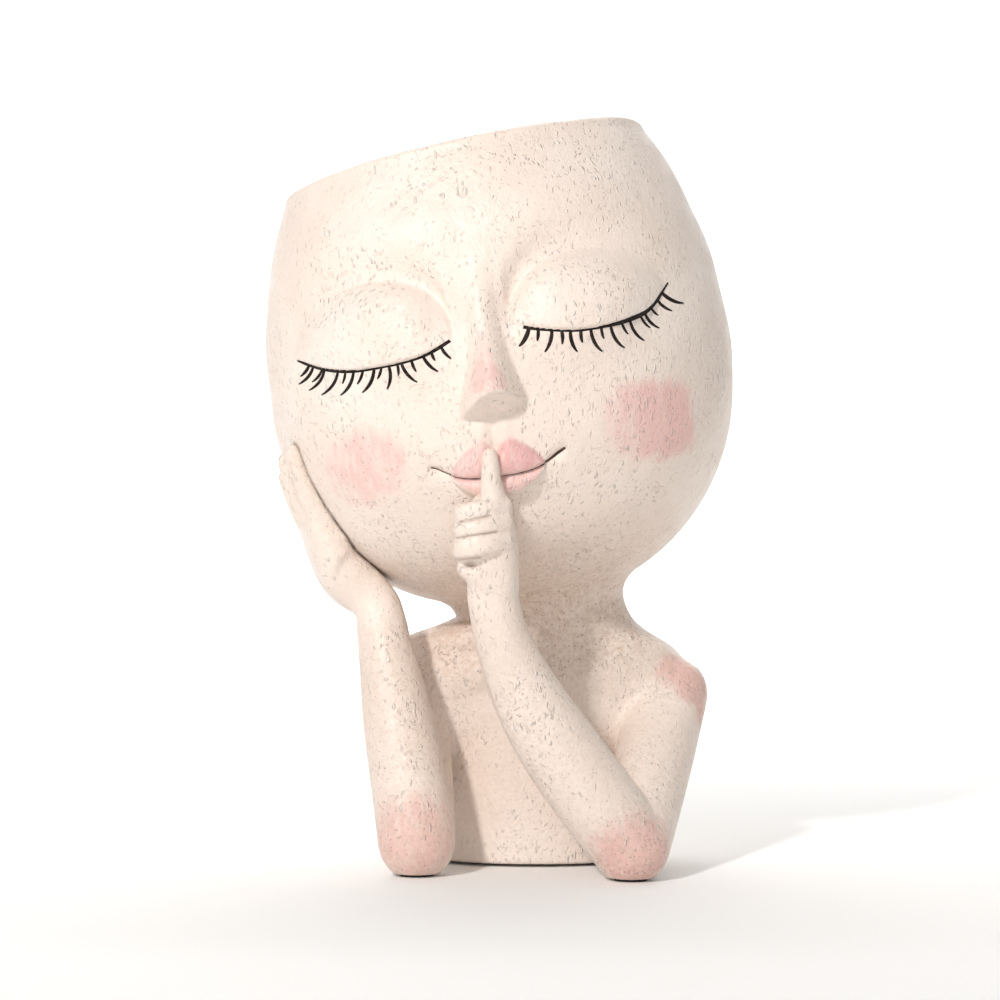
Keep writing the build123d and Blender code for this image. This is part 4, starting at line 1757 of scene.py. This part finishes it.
@dataclass(frozen=True)
class LashPaint:
    """Dark brown paint of the lashes and the line of the mouth."""

    name: str = "lash_paint"
    colour: tuple = (0.012, 0.008, 0.007)
    pale_tone: tuple = (0.05, 0.036, 0.030)
    roughness: float = 0.62
    gloss: float = 0.16

    def material(self) -> bpy.types.Material:
        """Builds the node material.

        Returns:
            The material.
        """
        tree = Nodes(self.name)
        position = tree.position()
        pale_tone = tree.range(tree.noise(position, 900, 3, 0.6), 0.45, 0.75)
        rough = tree.range(pale_tone, 0, 1, self.roughness, self.roughness + 0.2)
        tree.link(tree.mix(pale_tone, self.colour, self.pale_tone), tree.shader.inputs["Base Color"])
        tree.link(rough, tree.shader.inputs["Roughness"])
        tree.shader.inputs["Specular IOR Level"].default_value = self.gloss
        tree.bump(tree.noise(position, 2500, 2, 0.5), 0.3, 0.0001)
        return tree.material


@dataclass(frozen=True)
class SoftFinish:
    """Plain soft rubber or foam with a faint grain."""

    name: str
    colour: tuple
    paler: tuple
    grain: float
    roughness: float

    def material(self) -> bpy.types.Material:
        """Builds the node material.

        Returns:
            The material.
        """
        tree = Nodes(self.name)
        position = tree.position()
        cloud = tree.range(tree.noise(position, 180, 3, 0.6), 0.35, 0.7)
        rough = tree.range(cloud, 0, 1, self.roughness, self.roughness + 0.1)
        tree.link(tree.mix(cloud, self.colour, self.paler), tree.shader.inputs["Base Color"])
        tree.link(rough, tree.shader.inputs["Roughness"])
        tree.bump(tree.noise(position, self.grain, 2, 0.5), 0.35, 0.00015)
        return tree.material


class Nodes:
    """Shorthand for a new material's node tree."""

    def __init__(self, name: str) -> None:
        """Makes the material and keeps its tree and its main shader.

        Args:
            name: Name of the material.
        """
        self.material = bpy.data.materials.new(name)
        self.material.use_nodes = True
        self.tree = self.material.node_tree
        self.shader = self.tree.nodes["Principled BSDF"]

    def position(self) -> Socket:
        """Place on the object, in metres."""
        return self.add("ShaderNodeTexCoord").outputs["Object"]

    def add(self, kind: str) -> bpy.types.Node:
        """Adds a node of a kind."""
        return self.tree.nodes.new(kind)

    def link(self, source: Socket, target: Socket) -> None:
        """Joins two sockets."""
        self.tree.links.new(source, target)

    def feed(self, value: object, target: Socket) -> None:
        """Links a socket, or sets a constant.

        Args:
            value: Number, colour or socket.
            target: Socket to feed.
        """
        if isinstance(value, Socket):
            self.link(value, target)
        elif isinstance(value, tuple):
            target.default_value = (*value, 1.0) if len(target.default_value) == 4 else value
        else:
            target.default_value = value

    def attribute(self, name: str) -> Socket:
        """A number stored on the mesh.

        Args:
            name: Name of the attribute.

        Returns:
            Its socket.
        """
        node = self.add("ShaderNodeAttribute")
        node.attribute_name = name
        return node.outputs["Fac"]

    def noise(self, position: Socket, scale: float, detail: float, rough: float) -> Socket:
        """Cloud noise at a scale per metre.

        Args:
            position: Where the pattern is read.
            scale: Features per metre.
            detail: Layers of finer noise.
            rough: Weight of the finer layers.

        Returns:
            Noise from 0 to 1.
        """
        node = self.add("ShaderNodeTexNoise")
        self.link(position, node.inputs["Vector"])
        node.inputs["Scale"].default_value = scale
        node.inputs["Detail"].default_value = detail
        node.inputs["Roughness"].default_value = rough
        return node.outputs["Fac"]

    def math(self, operation: str, first: object, second: object) -> Socket:
        """Sum, product or other combination of two numbers.

        Args:
            operation: Name of the sum.
            first: Number, colour or socket.
            second: Number, colour or socket.

        Returns:
            The result.
        """
        node = self.add("ShaderNodeMath")
        node.operation = operation
        self.feed(first, node.inputs[0])
        self.feed(second, node.inputs[1])
        return node.outputs[0]

    def times(self, first: object, second: object) -> Socket:
        """Product of two numbers."""
        return self.math("MULTIPLY", first, second)

    def plus(self, first: object, second: object) -> Socket:
        """Sum of two numbers."""
        return self.math("ADD", first, second)

    def range(self, value: object, low: float, high: float, new_low: float = 0.0,
              new_high: float = 1.0) -> Socket:
        """Number stretched from one range to another, clipped at both ends.

        Args:
            value: Number or socket.
            low: Lower end.
            high: Upper end.
            new_low: Result at the lower end.
            new_high: Result at the upper end.

        Returns:
            The stretched number.
        """
        node = self.add("ShaderNodeMapRange")
        node.interpolation_type = "SMOOTHSTEP"
        self.feed(value, node.inputs["Value"])
        limits = {"From Min": low, "From Max": high, "To Min": new_low, "To Max": new_high}
        for name, number in limits.items():
            node.inputs[name].default_value = number
        return node.outputs["Result"]

    def mix(self, share: object, first: object, second: object) -> Socket:
        """Colour part of the way from the first to the second.

        Args:
            share: How far to go, from 0 to 1.
            first: Number, colour or socket.
            second: Number, colour or socket.

        Returns:
            The colour.
        """
        node = self.add("ShaderNodeMix")
        node.data_type = "RGBA"
        colours = [socket for socket in node.inputs if socket.type == "RGBA"]
        self.feed(share, node.inputs["Factor"])
        self.feed(first, colours[0])
        self.feed(second, colours[1])
        return [socket for socket in node.outputs if socket.type == "RGBA"][0]

    def turned(self, position: Socket, turn: tuple, stretch: tuple) -> Socket:
        """Position turned and stretched for a pattern that runs one way.

        Args:
            position: Where the pattern is read.
            turn: Turn about each axis, radians.
            stretch: Scale along each axis.

        Returns:
            The new position.
        """
        node = self.add("ShaderNodeMapping")
        self.link(position, node.inputs["Vector"])
        node.inputs["Rotation"].default_value = turn
        node.inputs["Scale"].default_value = stretch
        return node.outputs["Vector"]

    def cells(self, position: Socket, scale: float) -> tuple:
        """Distance to the nearest scattered dot, and that dot's own random number.

        Args:
            position: Where the pattern is read.
            scale: Features per metre.

        Returns:
            The distance and the number.
        """
        node = self.add("ShaderNodeTexVoronoi")
        self.link(position, node.inputs["Vector"])
        node.inputs["Scale"].default_value = scale
        split = self.add("ShaderNodeSeparateColor")
        self.link(node.outputs["Color"], split.inputs["Color"])
        return node.outputs["Distance"], split.outputs["Red"]

    def dots(self, position: Socket, scale: float, size: float, kept: float) -> Socket:
        """Scattered soft dots, of which only a share is kept.

        Args:
            position: Where the pattern is read.
            scale: Features per metre.
            size: Radius of a dot, as a share of its cell.
            kept: Share of them to keep.

        Returns:
            Cover from 0 to 1.
        """
        distance, chance = self.cells(position, scale)
        shape = self.range(distance, size * 0.2, size, 1.0, 0.0)
        return self.times(shape, self.range(chance, kept - 0.02, kept + 0.02, 1.0, 0.0))

    def bent(self, position: Socket, scale: float = 120.0, reach: float = 0.006) -> Socket:
        """Position pushed about by a cloud noise, so that strokes curve.

        Args:
            position: Where the pattern is read.
            scale: Features per metre.
            reach: How far it is pushed, metres.

        Returns:
            The new position.
        """
        warp = self.add("ShaderNodeTexNoise")
        self.link(position, warp.inputs["Vector"])
        warp.inputs["Scale"].default_value = scale
        shift = self.add("ShaderNodeVectorMath")
        shift.operation = "SCALE"
        self.link(warp.outputs["Color"], shift.inputs[0])
        shift.inputs["Scale"].default_value = reach
        moved = self.add("ShaderNodeVectorMath")
        moved.operation = "ADD"
        self.link(position, moved.inputs[0])
        self.link(shift.outputs["Vector"], moved.inputs[1])
        return moved.outputs["Vector"]

    def chips(self, position: Socket, bent: Socket, layers: tuple, spread: float) -> Socket:
        """Layers of short strokes, each in its own direction, denser in patches.

        Args:
            position: Where the pattern is read.
            bent: Position with curves in it.
            layers: The layers.
            spread: Patches per metre.

        Returns:
            Cover from 0 to 1.
        """
        total = 0.0
        for chip in layers:
            turned = self.turned(bent, chip.turn, (1.0, 1.0, chip.stretch))
            total = self.math("MAXIMUM", total, self.dots(turned, chip.scale, chip.size, chip.kept))
        patches = self.range(self.noise(position, spread, 2, 0.5), 0.40, 0.56, 0.15, 1.0)
        return self.times(total, patches)

    def scratches(self, position: Socket) -> Socket:
        """Short curved scratches: where a cloud noise crosses its middle, kept in bits of a finer one.

        Args:
            position: Where the pattern is read.

        Returns:
            Cover from 0 to 1.
        """
        lines = self.noise(position, 340, 1, 0.5)
        off = self.math("ABSOLUTE", self.math("SUBTRACT", lines, 0.5), 0.0)
        thin = self.range(off, 0.004, 0.034, 1.0, 0.0)
        kept = self.range(self.noise(position, 760, 2, 0.5), 0.55, 0.62)
        patches = self.range(self.noise(position, 60, 2, 0.5), 0.36, 0.64, 0.15, 1.0)
        return self.times(self.times(thin, kept), patches)

    def specks(self, position: Socket) -> Socket:
        """Tiny dark specks in drifts.

        Args:
            position: Where the pattern is read.

        Returns:
            Cover from 0 to 1.
        """
        fine = self.dots(position, 1000, 0.27, 0.22)
        coarse = self.dots(position, 560, 0.20, 0.09)
        drift = self.range(self.noise(position, 55, 3, 0.6), 0.42, 0.60, 0.12, 1.0)
        return self.times(self.math("MAXIMUM", fine, coarse), drift)

    def strokes(self, position: Socket, low: float, high: float, new_low: float,
                new_high: float) -> Socket:
        """Fine upright brush marks, stretched from one range to another."""
        marks = self.noise(self.turned(position, (0.0, 0.15, 0.0), (1.0, 1.0, 0.2)), 900, 3, 0.6)
        return self.range(marks, low, high, new_low, new_high)

    def brush(self, position: Socket, mask: Socket, uneven: float) -> Socket:
        """Mask broken up by dry upright brush strokes and the grain under them.

        Args:
            position: Where the pattern is read.
            mask: The mask.
            uneven: How far the strokes eat into it.

        Returns:
            Cover from 0 to 1.
        """
        strokes = self.noise(self.turned(position, (0.0, 0.15, 0.0), (1.0, 1.0, 0.16)), 520, 3, 0.6)
        cloud = self.noise(position, 110, 3, 0.6)
        broken = self.plus(self.times(strokes, 0.6), self.times(cloud, 0.4))
        shift = self.times(self.math("SUBTRACT", broken, 0.5), uneven * 1.6)
        edge = self.plus(mask, self.times(shift, self.range(mask, 0.02, 0.3)))
        return self.range(edge, 0.0, 1.0)

    def bump(self, height: Socket, strength: float, distance: float) -> None:
        """Feeds a height to the shader's normal.

        Args:
            height: The height.
            strength: Share of the full effect.
            distance: Full height in metres.
        """
        node = self.add("ShaderNodeBump")
        node.inputs["Strength"].default_value = strength
        node.inputs["Distance"].default_value = distance
        self.link(height, node.inputs["Height"])
        self.link(node.outputs["Normal"], self.shader.inputs["Normal"])


@dataclass(frozen=True)
class Lamp:
    """Square area light aimed at the face: degrees round the viewer, metres and watts."""

    name: str
    azimuth: float
    elevation: float
    distance: float
    size: float
    power: float
    colour: tuple

    def build(self, target: tuple) -> None:
        """Hangs the lamp at its distance from the target, facing it.

        Args:
            target: Place to aim at, metres.
        """
        turn, rise = np.radians(self.azimuth), np.radians(self.elevation)
        away = np.array([np.sin(turn) * np.cos(rise), -np.cos(turn) * np.cos(rise), np.sin(rise)])
        thing = area_light(self.name, self.size, self.power)
        thing.data.color = self.colour
        thing.location = (np.array(target) + away * self.distance).tolist()
        thing.rotation_euler = Vector((-away).tolist()).to_track_quat("-Z", "Y").to_euler()


def area_light(name: str, size: float, power: float) -> bpy.types.Object:
    """Square area light at the origin.

    Args:
        name: Light's name.
        size: Side in metres.
        power: Watts.

    Returns:
        The light.
    """
    data = bpy.data.lights.new(name, "AREA")
    data.size = size
    data.energy = power
    thing = bpy.data.objects.new(name, data)
    bpy.context.scene.collection.objects.link(thing)
    return thing


@dataclass
class Studio:
    """Pale sweep, soft light and the photograph's camera; the stage is in metres."""

    camera_side: float = -9.8
    camera_back: float = 800.0
    camera_level: float = 100.0
    focal_pixels: float = 2857.0
    frame_pixels: float = 1000.0
    sensor: float = 36.0
    target: tuple = (0.0, -0.02, 0.12)
    lamps: tuple = (
        Lamp("key", -26, 30, 1.3, 0.10, 10.9, (1.0, 0.975, 0.955)),
        Lamp("low", -4, 2, 1.5, 0.7, 2.1, (1.0, 0.985, 0.97)),
        Lamp("fill", 42, 12, 1.6, 1.4, 1.6, (1.0, 0.97, 0.95)),
    )
    backdrop_size: float = 1.6
    backdrop_power: float = 45.0
    backdrop_place: tuple = (0.0, 0.9, 1.6)
    backdrop_tilt: float = 50.0
    sky: tuple = (1.0, 0.99, 0.975, 1.0)
    sky_strength: float = 0.36
    paper: tuple = (0.92, 0.915, 0.905, 1.0)
    paper_roughness: float = 0.9
    sweep_reach: float = 3.0
    sweep_back: float = 1.3
    sweep_radius: float = 0.7
    sweep_height: float = 3.0

    def sweep(self) -> bpy.types.Object:
        """Floor that bends up into a wall behind the planter: a quarter circle between two flats.

        Returns:
            The sweep.
        """
        radius = self.sweep_radius
        turn = np.linspace(0, np.pi / 2, 18)
        bend = self.sweep_back + radius * np.sin(turn)
        y = np.concatenate([[-self.sweep_reach], bend, [self.sweep_back + radius]])
        z = np.concatenate([[0.0], radius - radius * np.cos(turn), [self.sweep_height]])
        x = np.array([-self.sweep_reach, self.sweep_reach])
        points = np.stack(np.broadcast_arrays(x[None, :], y[:, None], z[:, None]), axis=-1)
        data = bpy.data.meshes.new("studio_sweep")
        data.from_pydata(points.reshape(-1, 3).tolist(), [], grid_quads(len(y), 2, False, False).tolist())
        data.polygons.foreach_set("use_smooth", np.ones(len(data.polygons), dtype=bool))
        paper = Nodes("studio_paper")
        paper.shader.inputs["Base Color"].default_value = self.paper
        paper.shader.inputs["Roughness"].default_value = self.paper_roughness
        data.materials.append(paper.material)
        return place(data)

    def backdrop_lamp(self) -> None:
        """Wide light behind the planter, out of view, that keeps the wall as pale as the floor."""
        thing = area_light("backdrop", self.backdrop_size, self.backdrop_power)
        thing.location = self.backdrop_place
        thing.rotation_euler = (np.radians(self.backdrop_tilt), 0, 0)

    def camera(self) -> None:
        """Level camera where the photograph was taken from."""
        data = bpy.data.cameras.new("photo_camera")
        data.sensor_width = self.sensor
        data.lens = self.sensor * self.focal_pixels / self.frame_pixels
        data.clip_start = 0.01
        thing = bpy.data.objects.new("photo_camera", data)
        spot = np.array([self.camera_side, -self.camera_back, self.camera_level]) + DRAIN_AXIS
        thing.location = (spot * MM).tolist()
        thing.rotation_euler = (np.pi / 2, 0, 0)
        bpy.context.scene.collection.objects.link(thing)
        bpy.context.scene.camera = thing

    def build(self) -> None:
        """Builds the sweep, the lights and the camera."""
        self.sweep()
        for lamp in self.lamps:
            lamp.build(self.target)
        self.backdrop_lamp()
        world = bpy.data.worlds.new("studio_world")
        world.use_nodes = True
        sky = world.node_tree.nodes["Background"]
        sky.inputs["Color"].default_value = self.sky
        sky.inputs["Strength"].default_value = self.sky_strength
        bpy.context.scene.world = world
        bpy.context.scene.view_settings.view_transform = "Standard"
        self.camera()


@dataclass(frozen=True)
class CastingColours:
    """Where the pink, the grime with painted shade and the painted shade of the creases lie on the bust and
    the arms.
    """

    form: HeadForm
    spots: tuple = (
        BlushSpot((-33.2, -48.0, 10.0), 11.8, 0.74, 0.55),
        BlushSpot((25.4, -57.0, 7.6), 10.6, 0.92, 0.55),
        BlushSpot((39.6, -11.0, 52.6), 6.2, 0.85, 0.55),
        BlushSpot((43.5, -11.5, 47.5), 6.4, 1.15, 0.5),
        BlushSpot((45.0, -12.0, 41.0), 5.0, 0.95, 0.5),
    )
    near_head_shade_and_grime: float = 0.25
    neck_shade_and_grime: float = 0.75
    blush_grime_and_shade: float = 0.38
    handled_grime: float = 0.18
    touch_level: float = 78.0
    touch_depth: float = 0.2
    edge_half: float = 0.45
    edge_reach: float = 3.0
    head_crease_shade: float = 0.9

    def paint(self, data: bpy.types.Mesh) -> None:
        """Stores pink dabs by place, and a mask of painted shade with dust near the head and on the neck,
        grime with painted shade on the dabs, and grime on the forearms.

        Args:
            data: The mesh.
        """
        points = mesh_points(data)
        x, y, z = points.T
        blush = np.max([spot.mask(points) for spot in self.spots], axis=0)
        set_attribute(data, "blush", blush)
        set_attribute(data, "lip", np.zeros(len(points)))
        # Painted shade with dust where the head hangs over the bust, and on the neck in the head's shadow.
        near = self.near_head_shade_and_grime * (1 - ramp(self.form.depth_of(points), 0.5, 9))
        neck = self.neck_shade_and_grime * ramp(z, 40, 62) * (1 - ramp(np.abs(x), 24, 44)) * (y > -30)
        # The forearms and hands in front take grime; the dabs take grime with painted shade.
        handled = self.handled_grime * ramp(-y, 20, 34)
        set_attribute(data, "grime_and_shade", np.clip(near + neck + self.blush_grime_and_shade * blush + handled, 0, 1))

    def mark_contact(self, head: bpy.types.Mesh, hand: bpy.types.Mesh) -> None:
        """Paints shade along the crease between the cheek and the hand on it, on both meshes.

        Args:
            head: The head's mesh.
            hand: The forearm's mesh.
        """
        touching = mesh_points(hand)
        depth = self.form.depth_of(touching)
        raised = touching[:, 2] > self.touch_level
        shade = (1 - ramp(depth, self.touch_depth, 1.0)) * raised
        hand.attributes["crease_shade"].data.foreach_set("value", shade.astype(np.float32))
        edge = touching[(np.abs(depth - self.touch_depth) < self.edge_half) & raised]
        skin = mesh_points(head)
        side, _, level = edge.max(axis=0) + self.edge_reach
        close = np.flatnonzero((skin[:, 0] < side) & (skin[:, 2] < level))
        dark = np.zeros(len(skin))
        # Painted shade along the crease on the cheek.
        dark[close] = self.head_crease_shade * (1 - ramp(nearest_distance(skin[close], edge), 0.2, 1.3))
        set_attribute(head, "crease_shade", dark)


def wear(thing: bpy.types.Object, material: bpy.types.Material) -> None:
    """Puts one material on a piece in place of any it has."""
    thing.data.materials.clear()
    thing.data.materials.append(material)


def dress(thing: bpy.types.Object, material: bpy.types.Material, node: str) -> None:
    """Gives a piece its material and body, and hides the CAD node it stands for.

    Args:
        thing: The piece.
        material: The material.
        node: CAD node.
    """
    wear(thing, material)
    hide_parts(node)
    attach(thing, ROOT_BODY)
    log.info("%s: %d faces", thing.name, len(thing.data.polygons))


def dress_node(name: str, finish: SoftFinish) -> None:
    """Gives a CAD node that stays in view its finish.

    Args:
        name: Name of the CAD node.
        finish: Its finish.
    """
    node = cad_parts[name]
    wear(node, finish.material())
    log.info("%s: CAD node kept", name)


def main() -> None:
    """Builds every piece in order."""
    resin = ResinFinish().material()
    paint = LashPaint().material()
    head = HeadPot()
    shell = head.build()
    dress(shell, resin, "head_pot")
    brown = LashPaint("mouth_paint", (0.075, 0.042, 0.030), (0.19, 0.12, 0.09)).material()
    for line in FacePaint(head).build():
        wear(line, brown if line.name == "mouth_line" else paint)
        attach(line, ROOT_BODY)
        log.info("%s: %d faces", line.name, len(line.data.polygons))
    right_arm = Arm(
        Side.RIGHT,
        shoulder=(-35.0, -3.0, 45.5),
        elbow=(-32.0, -39.0, 9.0),
        forearm=(
            (-33.6, -36.6, 21.0, 10.3), (-37.0, -32.4, 40.0, 9.6),
            (-40.4, -27.8, 58.0, 7.7), (-42.2, -25.4, 66.6, 6.7),
        ),
        seat_reach=47.0,
    )
    left_arm = Arm(
        Side.LEFT,
        shoulder=(37.8, -3.0, 46.0),
        elbow=(24.6, -48.0, 9.0),
        forearm=(
            (15.4, -50.0, 21.4, 10.8), (5.6, -52.0, 35.0, 10.5), (-2.3, -54.0, 48.0, 9.3),
            (-8.8, -55.5, 62.5, 7.4), (-11.6, -56.5, 74.0, 6.7),
        ),
    )
    cheek_hand = CheekHand(head.form, wrist=(-43.7, -24.0, 72.8))
    colours = CastingColours(head.form)
    for thing, node in Bust(head.form, right_arm, left_arm, cheek_hand, ShushHand()).build():
        colours.paint(thing.data)
        dress(thing, resin, node)
        if node == "right_forearm":
            colours.mark_contact(shell.data, thing.data)
    silicone = SoftFinish("silicone", (0.42, 0.42, 0.40), (0.50, 0.50, 0.48), 900, 0.4)
    foam = SoftFinish("foam", (0.02, 0.02, 0.02), (0.05, 0.05, 0.05), 3000, 0.8)
    dress_node("drain_plug", silicone)
    dress_node("foot_pads", foam)
    Studio().build()


if __name__ == "__main__":
    main()
